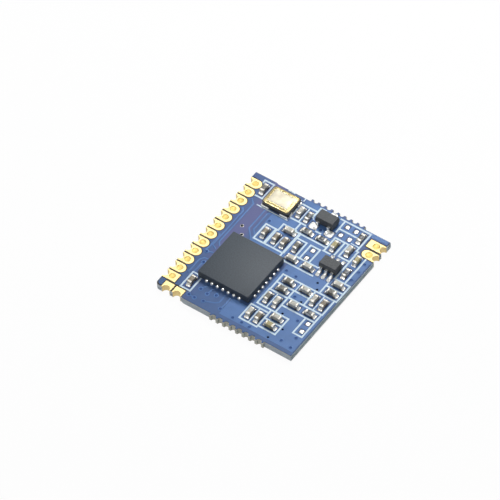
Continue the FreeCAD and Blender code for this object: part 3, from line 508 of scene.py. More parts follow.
def small_mould_epoxy():
    # The same epoxy in a coarser tool, as small outline parts have it: darker and more matt.
    tones = two("#34383B", "#474B4E")
    return surface("moulded black epoxy", tones, 0.12, (0.1, 0.01), 0.6, detail=2.0)


def black_ceramic():
    # Co-fired black ceramic under the crystal's lid: dense, dark and dull.
    return surface("co-fired black ceramic", two("#1C1F22", "#2B2F33"), 0.15, (0.05, 0.003), 0.5)


def ring_gold():
    # Gold over the sealing ring, rippled by the seam weld: it glints from ripple to ripple.
    tones = two("#B2A06C", "#DACB9C")
    return surface("gold-plated sealing ring", tones, 0.2, (0.05, 0.003), 0.27, metallic=0.9)


def lid_nickel():
    # Rolled nickel-plated lid: pale warm metal with faint rolling marks.
    made = surface("rolled nickel-plated lid", around("lid", 0.8, 1.04), 0.8, None, 0.5, metallic=0.8)
    tree = made.node_tree
    shader = first_node(tree, "ShaderNodeBsdfPrincipled")
    place = add(tree, "ShaderNodeTexCoord")
    # marks 0.05 mm apart and 0.6 mm long
    scale = {"Scale": (1 / (0.05 * MM), 1 / (0.6 * MM), 1 / (0.05 * MM))}
    stretch = add(tree, "ShaderNodeMapping", scale, {"Vector": (place, "Object")})
    marks = add(tree, "ShaderNodeTexNoise", {"Scale": 1.0, "Detail": 2.0}, {"Vector": (stretch, "Vector")})
    relief(tree, shader, marks, 0.0015)
    polish(tree, shader, marks, 0.45, 0.55)
    return made


def via_depth_shade():
    # Painted shade: a near-black floor and wall that stand for the depth of a drilled via, where almost no
    # light returns.
    return surface("drilled via wall", two("#070B14", "#101B33"), 0.05, None, 0.9, specular=0.0)


def tented_film():
    # Mask sagging into a via: the same film, darker over the hole.
    return surface("mask over a via", two("#2E4C86", "#3F5F99"), 0.1, None, 0.45, specular=0.1)


def white_paper():
    # Paper sheet under the module: matt, even and white.
    return surface("white paper", two("#F7F7F7", "#FCFCFC"), 3.0, None, 0.9)


FINISHES = {
    "mask_copper": mask_over_copper,
    "mask_bare": mask_over_laminate,
    "laminate": glass_laminate,
    "gold": pad_gold,
    "hole_gold": hole_gold,
    "ink": legend_ink,
    "solder": bright_solder,
    "tinned_end": tinned_end,
    "lead": plated_lead,
    "land": wetted_land,
    "glaze": resistor_glaze,
    "alumina": alumina,
    "epoxy": mould_epoxy,
    "small_epoxy": small_mould_epoxy,
    "black_ceramic": black_ceramic,
    "ring_gold": ring_gold,
    "lid": lid_nickel,
    "drilled": via_depth_shade,
    "tented": tented_film,
}
made_finishes = {}


def finish(name):
    """The finish of that name, made the first time it is asked for."""
    if name not in made_finishes:
        made_finishes[name] = FINISHES[name]() if name in FINISHES else ceramic(name)
    return made_finishes[name]


def mesh_of(bm, name):
    """Turns edited geometry to a mesh, with its faces turned outward."""
    bmesh.ops.recalc_face_normals(bm, faces=bm.faces)
    mesh = bpy.data.meshes.new(name)
    bm.to_mesh(mesh)
    bm.free()
    return mesh


def show(name, shape, finishes, nodes=(), sharp=40):
    """Places a shape that is built in board places as a piece that rides on the module."""
    mesh = mesh_of(shape, name) if isinstance(shape, bmesh.types.BMesh) else shape
    mesh.transform(TO_FRAME)
    for each in finishes:
        mesh.materials.append(finish(each))
    mesh.shade_smooth()
    mesh.set_sharp_from_angle(angle=math.radians(sharp))
    made = bpy.data.objects.new(name, mesh)
    bpy.context.scene.collection.objects.link(made)
    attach(made, "root")
    if nodes:
        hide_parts(*nodes)


def coat_node(node, finish_name, edge=0.0):
    """Gives a CAD node its finish, and softens its edges by a modifier if an edge is given."""
    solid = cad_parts[node]
    solid.data.materials.clear()
    solid.data.materials.append(finish(finish_name))
    for face in solid.data.polygons:
        face.material_index = 0
    if edge:
        soften = solid.modifiers.new("soft edges", "BEVEL")
        soften.width = edge * MM
        soften.segments = 2
        soften.limit_method = "ANGLE"
        soften.angle_limit = math.radians(40)
        soften.use_clamp_overlap = True


def new_curve(name, dimensions, depth):
    """An empty curve with a rounded edge of this depth."""
    curve = bpy.data.curves.new(name, "CURVE")
    curve.dimensions = dimensions
    curve.bevel_depth = depth
    curve.bevel_resolution = 1
    return curve


def add_line(curve, points, closed):
    """Adds a line of straight steps to a curve."""
    spline = curve.splines.new("POLY")
    spline.points.add(len(points) - 1)
    for point, place in zip(spline.points, points):
        point.co = (place[0], place[1], 0, 1)
    spline.use_cyclic_u = closed


def mesh_from_curve(curve, name):
    """Turns a curve to a mesh whose pieces are joined along their edges."""
    holder = bpy.data.objects.new(name, curve)
    made = bpy.data.meshes.new_from_object(holder)
    bpy.data.objects.remove(holder)
    bpy.data.curves.remove(curve)
    bm = bmesh.new()
    bm.from_mesh(made)
    bmesh.ops.remove_doubles(bm, verts=bm.verts, dist=WELD)
    bpy.data.meshes.remove(made)
    return mesh_of(bm, name)


def plate(name, rings, low, high, edge):
    """A flat plate with holes: closed rings of places, from a low to a high height."""
    curve = new_curve(name, "2D", edge)
    curve.fill_mode = "BOTH"
    curve.extrude = (high - low) / 2 - edge
    curve.offset = -edge
    for ring in rings:
        add_line(curve, ring, closed=True)
    mesh = mesh_from_curve(curve, name)
    mesh.transform(Matrix.Translation((0, 0, (low + high) / 2)))
    return mesh


def raised_lines(name, lines, width, height):
    """Rounded ridges along open lines, half sunk at height 0."""
    curve = new_curve(name, "3D", width / 2)
    curve.use_fill_caps = True
    for line in lines:
        add_line(curve, line, closed=False)
    mesh = mesh_from_curve(curve, name)
    mesh.transform(Matrix.Scale(2 * height / width, 4, (0, 0, 1)))
    return mesh


def arc(centre, radius, start, end, steps):
    """Points along an arc, by angles in degrees."""
    turns = [math.radians(start + (end - start) * n / steps) for n in range(steps + 1)]
    return [(centre[0] + radius * math.cos(t), centre[1] + radius * math.sin(t)) for t in turns]


def circle(centre, radius, steps=16):
    """Points round a circle."""
    return arc(centre, radius, 0, 360, steps)[:-1]


def box_ring(low, high):
    """The ring of corners of a box."""
    return [(low.x, low.y), (high.x, low.y), (high.x, high.y), (low.x, high.y)]


def box_round(centre, span):
    """Low and high corner of a box round a place."""
    half = Vector(span) / 2
    return Vector(centre) - half, Vector(centre) + half


def rounded_block(bm, low, high, edge, number=0, steps=2):
    """A block with rounded edges between two corners."""
    before = set(bm.faces)
    verts = bmesh.ops.create_cube(bm, size=1)["verts"]
    low, high = Vector(low), Vector(high)
    for vert in verts:
        share = vert.co + Vector((0.5, 0.5, 0.5))
        vert.co = Vector(low[i] + (high[i] - low[i]) * share[i] for i in range(3))
    edges = list({line for vert in verts for line in vert.link_edges})
    bmesh.ops.bevel(bm, geom=edges, offset=edge, segments=steps, profile=0.5, affect="EDGES")
    for face in set(bm.faces) - before:
        face.material_index = number


def grid(rows, columns, place):
    """Rows of points, from a place for each (out, across): out from 0 to 1, across from -1 to 1."""
    return [[place(i / rows, 2 * j / columns - 1) for j in range(columns + 1)] for i in range(rows + 1)]


def lump(bm, rows, base, number=0):
    """A closed lump: a grid of top points over a flat base."""
    tops = [[bm.verts.new(p) for p in row] for row in rows]
    unders = [[bm.verts.new((p[0], p[1], base)) for p in row] for row in rows]
    last_row, last = len(rows) - 1, len(rows[0]) - 1
    faces = []
    for i in range(last_row):
        for j in range(last):
            faces.append((tops[i][j], tops[i][j + 1], tops[i + 1][j + 1], tops[i + 1][j]))
            faces.append((unders[i][j], unders[i + 1][j], unders[i + 1][j + 1], unders[i][j + 1]))
    rim = [(i, 0) for i in range(last_row)] + [(last_row, j) for j in range(last)]
    rim += [(i, last) for i in range(last_row, 0, -1)] + [(0, j) for j in range(last, 0, -1)]
    for (a, b), (c, d) in zip(rim, rim[1:] + rim[:1]):
        faces.append((tops[a][b], tops[c][d], unders[c][d], unders[a][b]))
    for corners in faces:
        bm.faces.new(corners).material_index = number


def crowned(centre, span, crown):
    """Rows of points over a rectangle with rounded corners, highest in the middle."""

    def place(out, v):
        u = 2 * out - 1
        # pulls the corners in, towards a rounded outline
        pull = 1 - 0.15 * (u * v) ** 4
        height = crown * (1 - u**8) * (1 - v**8) + 0.006
        return centre[0] + u * pull * span[0] / 2, centre[1] + v * pull * span[1] / 2, height

    return grid(8, 8, place)


def lathe(bm, centre, profile, number=0, steps=20):
    """A closed round piece from (radius, height) points, the first and last on the axis."""
    rings = []
    for radius, height in profile:
        if radius == 0:
            rings.append([bm.verts.new((*centre, height))] * steps)
        else:
            rings.append([bm.verts.new((*place, height)) for place in circle(centre, radius, steps)])
    for inner, outer in zip(rings, rings[1:]):
        for n in range(steps):
            corners = [inner[n], inner[(n + 1) % steps], outer[(n + 1) % steps], outer[n]]
            unique = [vert for i, vert in enumerate(corners) if vert not in corners[:i]]
            bm.faces.new(unique).material_index = number


def chip_part_nodes():
    """Each capacitor and resistor: its node, its slot and whether it is a resistor."""
    parts = [
        (f"capacitor_{n:02d}", f"{shade}_ceramic", False) for n, shade in enumerate(CAPACITOR_SHADES, 1)
    ]
    return parts + [(f"resistor_{n:02d}", "resistor_glaze", True) for n in range(1, RESISTOR_COUNT + 1)]


def chip_part_place(node):
    """Matrix, length, width and height of a chip part drawn along X."""
    low, high = node_box(node)
    span = high - low
    turn = Matrix.Rotation(math.radians(90), 4, "Z") if span.y > span.x else Matrix.Identity(4)
    middle = (low + high) / 2
    place = Matrix.Translation((middle.x, middle.y, low.z)) @ turn
    return place, max(span.x, span.y), min(span.x, span.y), span.z


def part_reaches():
    """Each chip part with its joints, seen from above: low and high corner, and the ends' depth."""
    reach = FILLET_REACH + JOINT_ROOM
    reaches = []
    for node, _, _ in chip_part_nodes():
        low, high = node_box(node)
        along = high.y - low.y > high.x - low.x
        grown = Vector((BESIDE_ROOM, reach)) if along else Vector((reach, BESIDE_ROOM))
        low, high = low.xy - grown, high.xy + grown
        depth = reach + END_LENGTH
        reaches.append((low, high, Vector((high.x - low.x, depth) if along else (depth, high.y - low.y))))
    return reaches


def end_windows():
    """Openings in the mask round both ends of each chip part."""
    boxes = []
    for low, high, inner in part_reaches():
        boxes += [(low, low + inner), (high - inner, high)]
    return boxes


def spare_windows():
    """Openings in the mask round the empty lands."""
    span = Vector(SPARE_LAND_SIDE) + Vector((0.08, 0.08))
    return [box_round(place, span) for place in SPARE_LANDS]


def lead_feet(part):
    """Box of a moulded part's leads, and each foot's (middle, side) along X."""
    low, high = node_box(f"{part}_leads")
    middle = (low.x + high.x) / 2
    if part == "transistor":
        return low, high, [(low.x + HALF_FOOT, -1), (high.x - HALF_FOOT, -1), (middle, 1)]
    pitch = (high.x - low.x - 2 * HALF_FOOT) / 2
    return low, high, [(middle + n * pitch, side) for n in (-1, 0, 1) for side in (-1, 1)]


def land_windows():
    """Openings in the mask round the lands of the moulded parts."""
    boxes = []
    for part, span, shift, low_in, high_in in (
        ("transistor", (0.86, 0.84), 0.29, 0.1, -0.1),
        ("switch_chip", (0.4, 0.72), 0, -0.03, -0.05),
    ):
        low, high, feet = lead_feet(part)
        middle = (low.x + high.x) / 2
        for x, side in feet:
            if side < 0:
                boxes.append(box_round((x + math.copysign(shift, x - middle), low.y + low_in), span))
            else:
                boxes.append(box_round((x, high.y + high_in), span))
    return boxes


def merged(boxes):
    """Joins boxes that overlap to the box that holds them."""
    kept = []
    for low, high in boxes:
        touching = True
        while touching:
            touching = [
                (a, b) for a, b in kept if low.x < b.x and a.x < high.x and low.y < b.y and a.y < high.y
            ]
            for a, b in touching:
                kept.remove((a, b))
                low = Vector((min(low.x, a.x), min(low.y, a.y)))
                high = Vector((max(high.x, b.x), max(high.y, b.y)))
        kept.append((low, high))
    return kept


def inside(place, ring):
    """True where a place lies in a ring of corners."""
    crossings = 0
    for (x0, y0), (x1, y1) in zip(ring, ring[1:] + ring[:1]):
        if (y0 > place[1]) != (y1 > place[1]):
            crossings += place[0] < x0 + (place[1] - y0) / (y1 - y0) * (x1 - x0)
    return crossings % 2 == 1


def fill_rings():
    """The filled copper's outline and the openings in it round the lands and the open vias."""
    room = sizes().land_room / MM
    grown = Vector((room, room))
    boxes = [(low, high) for low, high, _ in part_reaches()] + land_windows() + spare_windows()
    rings = [box_ring(low, high) for low, high in merged([(a - grown, b + grown) for a, b in boxes])]
    rings = [ring for ring in rings if all(inside(corner, FILL) for corner in ring)]
    via = sizes().via_round / MM
    open_vias = [place for place in OPEN_VIAS if not any(inside(place, ring) for ring in rings)]
    return [FILL] + rings + [circle(place, via) for place in open_vias]


def bitten(y, inward, rim):
    """The broken side of a stub from its start to its end: bites of a drill along a line."""
    points = [(STUB_START + rim, y)]
    for n in range(BITE_COUNT):
        middle = STUB_START + FIRST_BITE_IN + n * BITE_PITCH
        start, end = (180, 0) if inward > 0 else (180, 360)
        points += arc((middle, y - inward * rim), BITE_ROUND + rim, start, end, 8)
    return points + [(STUB_END - rim, y)]


def mask_outline():
    """The mask's edge: a rim inside the routed outline, with the pads' windows notched in."""
    rim = sizes().mask_rim / MM
    half = PAD_WIDTH / 2 + PAD_CLEAR
    right = BOARD_WIDTH - rim
    low_y, high_y = rim, BOARD_LENGTH - rim
    # down the row of pads, round the end of each
    ring = [(rim, high_y), (rim, FIRST_PAD + (PAD_COUNT - 1) * PAD_PITCH + half)]
    for n in range(PAD_COUNT - 1, 0, -1):
        ring += arc((PAD_REACH - PAD_WIDTH / 2, FIRST_PAD + n * PAD_PITCH), half, 90, -90, 12)
    # round pad one and the corner pads
    pin_right, corner_right = pin_one_high.x + PAD_CLEAR, corner_high.x + PAD_CLEAR
    corner_top = corner_high.y + PAD_CLEAR + 0.07
    ring += [(pin_right, FIRST_PAD + half), (pin_right, corner_top)]
    ring += [(corner_right, corner_top), (corner_right, low_y + EDGE_STEP)]
    # along the lower edge and its stub
    ring += [(LOWER_STEP_AT + STEP_SLOPE, low_y), (STUB_START + rim, low_y)]
    ring += bitten(STUB_LOW + rim, 1, rim) + [(STUB_END - rim, low_y), (right, low_y)]
    # up the far edge, round the aerial's pads
    ground_half = (ground_high.y - ground_low.y) / 2
    ground_end = (ground_low.x + ground_half, (ground_low.y + ground_high.y) / 2)
    aerial_left, aerial_top = aerial_low.x - PAD_CLEAR, aerial_high.y + PAD_CLEAR
    ring += [(right, ground_low.y - PAD_CLEAR)] + arc(ground_end, ground_half + PAD_CLEAR, -90, -270, 12)
    ring += [(aerial_left, aerial_low.y - PAD_CLEAR), (aerial_left, aerial_top), (right, aerial_top)]
    # back along the upper edge and its stub
    upper_y = high_y - EDGE_STEP
    ring += [(right, upper_y), (STUB_END - rim, upper_y)] + bitten(STUB_HIGH - rim, -1, rim)[::-1]
    ring += [(STUB_START + rim, upper_y), (UPPER_STEP_AT + STEP_SLOPE, upper_y), (UPPER_STEP_AT, high_y)]
    return ring


def corner_patch():
    """The patch of mask between pad one, the corner pads and the rounded corner."""
    rim = sizes().mask_rim / MM + 0.08
    low_y = EDGE_STEP + rim
    right = corner_low.x - PAD_CLEAR
    upper = FIRST_PAD - PAD_WIDTH / 2 - PAD_CLEAR
    bend = CORNER_ROUND - rim + 0.1
    return arc((rim + bend, low_y + bend), bend, 180, 270, 5) + [(right, low_y), (right, upper), (rim, upper)]


class MODULE_OT_board(bpy.types.Operator):
    """Finishes the laminate and lays the top mask with its openings"""

    bl_idname = "module.board"
    bl_label = "Board and mask"

    def execute(self, context):
        coat_node("board_laminate", "laminate", 0.03)
        coat_node("solder_mask_bottom", "mask_copper")
        boxes = merged(end_windows() + land_windows() + spare_windows())
        rings = [mask_outline(), corner_patch()] + [box_ring(low, high) for low, high in boxes]
        via = sizes().via_round / MM
        rings += [circle(place, via * 1.5, 20) for place in RINGED_VIAS]
        rings += [circle(place, via) for place in OPEN_VIAS]
        film = plate("mask_film", rings, -MASK_THICK, 0, 0.008)
        show("mask_film", film, ["mask_bare"], ["solder_mask_top"], FLAT_SHARP)
        return {"FINISHED"}


class MODULE_OT_copper(bpy.types.Operator):
    """Adds what the copper does to the mask: raised tracks, filled areas and vias"""

    bl_idname = "module.copper"
    bl_label = "Copper under the mask"

    def execute(self, context):
        own = sizes()
        height = own.fill_height / MM
        fill = plate("filled_copper", fill_rings(), SUNK, height, 0.006)
        show("filled_copper", fill, ["mask_copper"], sharp=FLAT_SHARP)
        tracks = raised_lines("tracks", TRACKS, own.track_width / MM, own.track_height / MM)
        show("tracks", tracks, ["mask_copper"])
        self.tented_vias(own.via_round / MM, height)
        self.drilled_vias(own.via_round / MM)
        return {"FINISHED"}

    def tented_vias(self, radius, height):
        """Vias under the mask: a low ring of copper, and film that sags into the hole."""
        hole = radius * 1.15
        ring = [(0, SUNK), (radius * 2, SUNK), (radius * 1.8, height + 0.004)]
        ring += [(hole * 1.1, height + 0.014), (hole, height + 0.013)]
        film = [(hole, height + 0.013), (hole * 0.6, height + 0.009), (0, height + 0.008)]
        bm = bmesh.new()
        for place in TENTED_VIAS:
            lathe(bm, place, ring, 0)
            lathe(bm, place, film, 1)
        bmesh.ops.remove_doubles(bm, verts=bm.verts, dist=WELD)
        show("tented_vias", bm, ["mask_copper", "tented"])

    def drilled_vias(self, radius):
        """Open vias: a floor of painted shade in the hole, a wall of it too in the two ringed ones, and a
        metal ring round those two.
        """
        floor = -MASK_THICK + 0.004
        wall, inner, outer = radius * 0.95, radius * 1.1, radius * 1.4
        ring = [(0, -MASK_THICK), (outer, -MASK_THICK), (outer, 0.006)]
        ring += [(outer - 0.015, 0.01), (inner, 0.01), (inner, 0)]
        bm = bmesh.new()
        for place in OPEN_VIAS:
            lathe(bm, place, [(0, floor - 0.004), (wall, floor - 0.004), (wall, floor), (0, floor)], 1)
        for place in RINGED_VIAS:
            lathe(bm, place, ring, 0)
            lathe(bm, place, [(inner, 0), (inner, floor), (0, floor)], 1)
        bmesh.ops.remove_doubles(bm, verts=bm.verts, dist=WELD)
        show("via_rings", bm, ["tinned_end", "drilled"])


class MODULE_OT_pads(bpy.types.Operator):
    """Finishes the gold pads and adds the plating that shows in their holes"""

    bl_idname = "module.pads"
    bl_label = "Gold pads"

    def execute(self, context):
        for node in ("pin_one_pad", "edge_pads", "corner_pads", "antenna_pad", "antenna_ground_pad"):
            coat_node(node, "gold", 0.012)
        holes = [((HOLE_IN, FIRST_PAD + n * PAD_PITCH), HOLE_ROUND) for n in range(PAD_COUNT)]
        for low, high in ((aerial_low, aerial_high), (ground_low, ground_high)):
            holes.append(((BOARD_WIDTH - HOLE_IN, (low.y + high.y) / 2), AERIAL_HOLE_ROUND))
        deep = sizes().web_depth / MM
        bm = bmesh.new()
        for place, radius in holes:
            reach = radius - 0.006
            web = [(0, -0.4), (reach, -0.4), (reach, -0.02)]
            web += [(reach * 0.94, -deep * 0.7), (reach * 0.8, -deep), (0, -deep * 1.1)]
            lathe(bm, place, web, steps=28)
        # the webs take the darker copy of the gold, which is painted shade
        show("plated_webs", bm, ["hole_gold"])
        return {"FINISHED"}


class MODULE_OT_legend(bpy.types.Operator):
    """Finishes the printed frames and adds the uneven bars and marks"""

    bl_idname = "module.legend"
    bl_label = "Printed legend"

    def execute(self, context):
        coat_node("legend_print", "ink")
        height = node_box("legend_print")[1].z
        marks = plate("legend_marks", PRINT_SHAPES, 0, height + 0.003, 0.004)
        show("legend_marks", marks, ["ink"], sharp=FLAT_SHARP)
        return {"FINISHED"}


class MODULE_OT_chip_parts(bpy.types.Operator):
    """Builds each capacitor and resistor: a ceramic block between two rounded metal ends"""

    bl_idname = "module.chip_parts"
    bl_label = "Capacitors and resistors"

    def execute(self, context):
        rng = random.Random(7)
        for node, slot, resistor in chip_part_nodes():
            self.chip_part(node, slot, resistor, rng)
        return {"FINISHED"}

    def chip_part(self, node, slot, resistor, rng):
        """One chip part, drawn along X and turned to its place."""
        place, part_length, part_width, height = chip_part_place(node)
        half, wide = part_length / 2, part_width / 2
        edge, cap_edge = sizes().ceramic_edge / MM, sizes().cap_edge / MM
        side = wide - 0.02
        top = height - (0.03 if resistor else 0.02)
        bm = bmesh.new()
        rounded_block(bm, (0.04 - half, -side, 0.02), (half - 0.04, side, top), edge, 0)
        if resistor:
            reach = half - END_LENGTH - 0.02
            rounded_block(bm, (-reach, -side, top - 0.01), (reach, side, height - 0.005), 0.012, 2)
        for end in (-1, 1):
            metal = END_LENGTH + rng.uniform(-0.02, 0.03)
            near, far = sorted((end * (half - metal), end * half))
            rounded_block(bm, (near, -wide, 0), (far, wide, height), cap_edge, 1, 3)
        # the top sinks in the middle and swells toward the ends
        for vert in bm.verts:
            vert.co.z -= 0.008 * math.cos(vert.co.x * 9) * (vert.co.z / height)
        bmesh.ops.transform(bm, matrix=place, verts=bm.verts)
        finishes = ["alumina" if resistor else slot, "tinned_end", "glaze"]
        show(f"{'thick_film' if resistor else 'ceramic'}_{node}", bm, finishes, [node])


class MODULE_OT_solder(bpy.types.Operator):
    """Builds the solder joints and the crowned solder on the empty lands"""

    bl_idname = "module.solder"
    bl_label = "Solder"

    def execute(self, context):
        own = sizes()
        rng = random.Random(11)
        bm = bmesh.new()
        for node, _, _ in chip_part_nodes():
            matrix, part_length, part_width, height = chip_part_place(node)
            climb = min(own.joint_climb / MM, height * 0.72)
            for turn in (0, math.pi):
                place = matrix @ Matrix.Rotation(turn, 4, "Z")
                rows = self.fillet(place, part_length / 2, part_width, climb * rng.uniform(0.8, 1.1), rng)
                lump(bm, rows, -MASK_THICK)
        show("solder_joints", bm, ["solder"], ["solder_fillets"])
        bm = bmesh.new()
        for place in SPARE_LANDS:
            lump(bm, crowned(place, SPARE_LAND_SIDE, own.land_crown / MM), -MASK_THICK)
        show("tinned_lands", bm, ["solder"], ["spare_lands"])
        return {"FINISHED"}

    def fillet(self, place, end, part_width, climb, rng):
        """Rows of points on a hollow joint, from the metal end out to the land's edge."""
        tilt = rng.uniform(-0.12, 0.12)

        def point(out, side):
            half = part_width / 2 * (0.86 + 0.22 * out - 0.14 * out**4)
            x = end - 0.03 + (FILLET_REACH + JOINT_ROOM) * out * (1 - 0.16 * side**2)
            z = climb * (1 - out) ** 2.6 * (1 - 0.25 * side**2 + tilt * side) + 0.02 * (1 - out) - 0.015
            return tuple(place @ Vector((x, side * half, z)))

        return grid(6, 6, point)


class MODULE_OT_radio_chip(bpy.types.Operator):
    """Builds the radio chip's moulding and its soldered leads"""

    bl_idname = "module.radio_chip"
    bl_label = "Radio chip"

    def execute(self, context):
        low, high = node_box("radio_chip_body")
        bm = bmesh.new()
        rounded_block(bm, low, high, sizes().chip_edge / MM, 0, 3)
        show("radio_chip_moulding", bm, ["epoxy"], ["radio_chip_body"])
        middle = (low + high) / 2
        bm = bmesh.new()
        for turn in range(4):
            side = Matrix.Rotation(turn * math.pi / 2, 4, "Z")
            place = Matrix.Translation((middle.x, middle.y, 0)) @ side
            for n in range(LEADS_A_SIDE):
                self.lead(bm, place, (high.x - low.x) / 2, (n - (LEADS_A_SIDE - 1) / 2) * LEAD_PITCH)
        show("soldered_leads", bm, ["lead"], ["radio_chip_leads"])
        return {"FINISHED"}

    def lead(self, bm, place, half, step):
        """A lead's end with the solder that climbs it."""
        reach, climb = sizes().lead_reach / MM, sizes().lead_climb / MM

        def point(out, side):
            x = half - 0.04 + (reach + 0.04) * out
            y = step + side * LEAD_WIDTH / 2 * (1 - 0.3 * out**3)
            z = climb * math.sqrt(max(0, 1 - out**2)) * (1 - 0.35 * side**2)
            return tuple(place @ Vector((x, y, z)))

        lump(bm, grid(6, 6, point), SUNK)


class MODULE_OT_crystal(bpy.types.Operator):
    """Builds the crystal's welded rim, lid and solder, and finishes its base"""

    bl_idname = "module.crystal"
    bl_label = "Crystal"

    def execute(self, context):
        coat_node("crystal_base", "black_ceramic", 0.03)
        self.rim()
        self.lid()
        self.joints()
        return {"FINISHED"}

    def loop(self, low, high, inset, height, ripple=0.0):
        """A rounded rectangle of points, with ripples round it."""
        # as many points on every loop, whatever its inset
        side_counts = [round((side - 2 * RING_CORNER) / LOOP_STEP) for side in (high - low).yx]
        corner = max(0.03, RING_CORNER - inset)
        middle = ((low + high) / 2).xy
        reach = (high - low).xy / 2 - Vector((inset + corner, inset + corner))
        bends = [
            arc(middle + Vector((right, up)) * reach, corner, start, start + 90, 6)
            for right, up, start in ((1, -1, -90), (1, 1, 0), (-1, 1, 90), (-1, -1, 180))
        ]
        points = []
        for turn, bend in enumerate(bends):
            steps = side_counts[turn % 2]
            following = bends[(turn + 1) % 4][0]
            points += bend
            for n in range(1, steps):
                points.append(tuple(a + (b - a) * n / steps for a, b in zip(bend[-1], following)))
        turns = sizes().ripple_count * 2 * math.pi / len(points)
        return [(x, y, height + ripple * math.sin(n * turns)) for n, (x, y) in enumerate(points)]

    def loft(self, bm, loops):
        """A closed solid through loops of as many points each, capped at both ends."""
        rings = [[bm.verts.new(point) for point in loop] for loop in loops]
        count = len(rings[0])
        for lower, upper in zip(rings, rings[1:]):
            for n in range(count):
                after = (n + 1) % count
                bm.faces.new((lower[n], lower[after], upper[after], upper[n]))
        bm.faces.new(rings[0][::-1])
        bm.faces.new(rings[-1])

    def rim(self):
        """The sealing ring, rippled by the weld: steps of (inset, height, share of the ripple)."""
        low, high = node_box("crystal_ring")
        ripple = sizes().ripple_height / MM
        top = high.z
        steps = [(0, low.z, 0), (0, top - 0.03, 0), (0.03, top, 0.6), (0.12, top + 0.02, 1)]
        steps += [(0.24, top + 0.04, 1), (0.32, top + 0.055, 0.4), (0.4, top + 0.04, 0)]
        bm = bmesh.new()
        self.loft(bm, [self.loop(low, high, inset, z, ripple * share) for inset, z, share in steps])
        show("welded_rim", bm, ["ring_gold"], ["crystal_ring"], ROUND_SHARP)

    def lid(self):
        """The lid, a little domed: steps of (inset, height)."""
        low, high = node_box("crystal_lid")
        top = high.z
        steps = [(0.18, low.z), (0.18, top - 0.06), (0.24, top - 0.035)]
        steps += [(0.4, top - 0.02), (0.7, top - 0.007), (1.0, top)]
        bm = bmesh.new()
        self.loft(bm, [self.loop(low, high, inset, z) for inset, z in steps])
        show("rolled_lid", bm, ["lid"], ["crystal_lid"], ROUND_SHARP)

    def joints(self):
        """Solder under the base, and bright solder at the foot of its walls by each corner."""
        low, high = node_box("crystal_solder")
        bm = bmesh.new()
        for x in (low.x + 0.6, high.x - 0.65):
            for y in (low.y + 0.32, high.y - 0.32):
                lump(bm, crowned((x, y), (1.1, 0.38), 0.03), SUNK)
        low, high = node_box("crystal_base")
        for start, end in ((low.x + 0.02, low.x + 0.95), (high.x - 0.95, high.x - 0.02)):
            self.wedge(bm, start, end, low.y, -1, along_x=True)
            self.wedge(bm, start, end, high.y, 1, along_x=True)
        for start, end in ((low.y + 0.3, low.y + 0.85), (high.y - 0.8, high.y - 0.2)):
            self.wedge(bm, start, end, low.x, -1, along_x=False)
            self.wedge(bm, start, end, high.x, 1, along_x=False)
        show("crystal_joints", bm, ["lead"], ["crystal_solder"])

    def wedge(self, bm, start, end, wall, outward, along_x):
        """Solder that slopes from a wall to the board, between two places along the wall."""
        loops = []
        for height, out in ((SUNK, 0.11), (0.03, 0.1), (0.13, 0.02), (0.135, 0.0)):
            inner, outer = sorted((wall - outward * 0.02, wall + outward * out))
            low, high = Vector((start + height / 4, inner)), Vector((end - height / 4, outer))
            ring = box_ring(low, high) if along_x else box_ring(low.yx, high.yx)
            loops.append([(x, y, height) for x, y in ring])
        self.loft(bm, loops)


class MODULE_OT_moulded_parts(bpy.types.Operator):
    """Finishes the transistor and the aerial switch, and adds solder on their lands"""

    bl_idname = "module.moulded_parts"
    bl_label = "Transistor and switch"

    def execute(self, context):
        for part in ("transistor", "switch_chip"):
            coat_node(f"{part}_body", "small_epoxy", 0.03)
            coat_node(f"{part}_leads", "lead", 0.02)
        bm = bmesh.new()
        gap = Vector((0.04, 0.04))
        for low, high in land_windows():
            lump(bm, crowned((low + high) / 2, high - low - gap, 0.03), -MASK_THICK, 1)
        self.feet(bm, "transistor", 0.25, 0.08)
        self.feet(bm, "switch_chip", 0.34, 0.17)
        show("foot_joints", bm, ["lead", "land"], ["chip_lands"])
        return {"FINISHED"}

    def feet(self, bm, part, reach, climb):
        """Solder that runs over each lead's foot and down to the land's outer end."""
        low, high, feet = lead_feet(part)
        for x, side in feet:
            heel = (low.y if side < 0 else high.y) - side * FOOT_LENGTH

            def point(out, across):
                z = climb * (1 - out**3) * (1 - 0.45 * across**4) + 0.02
                return x + across * (0.17 + 0.03 * out), heel + side * out * (FOOT_LENGTH + reach), z

            lump(bm, grid(8, 6, point), SUNK)


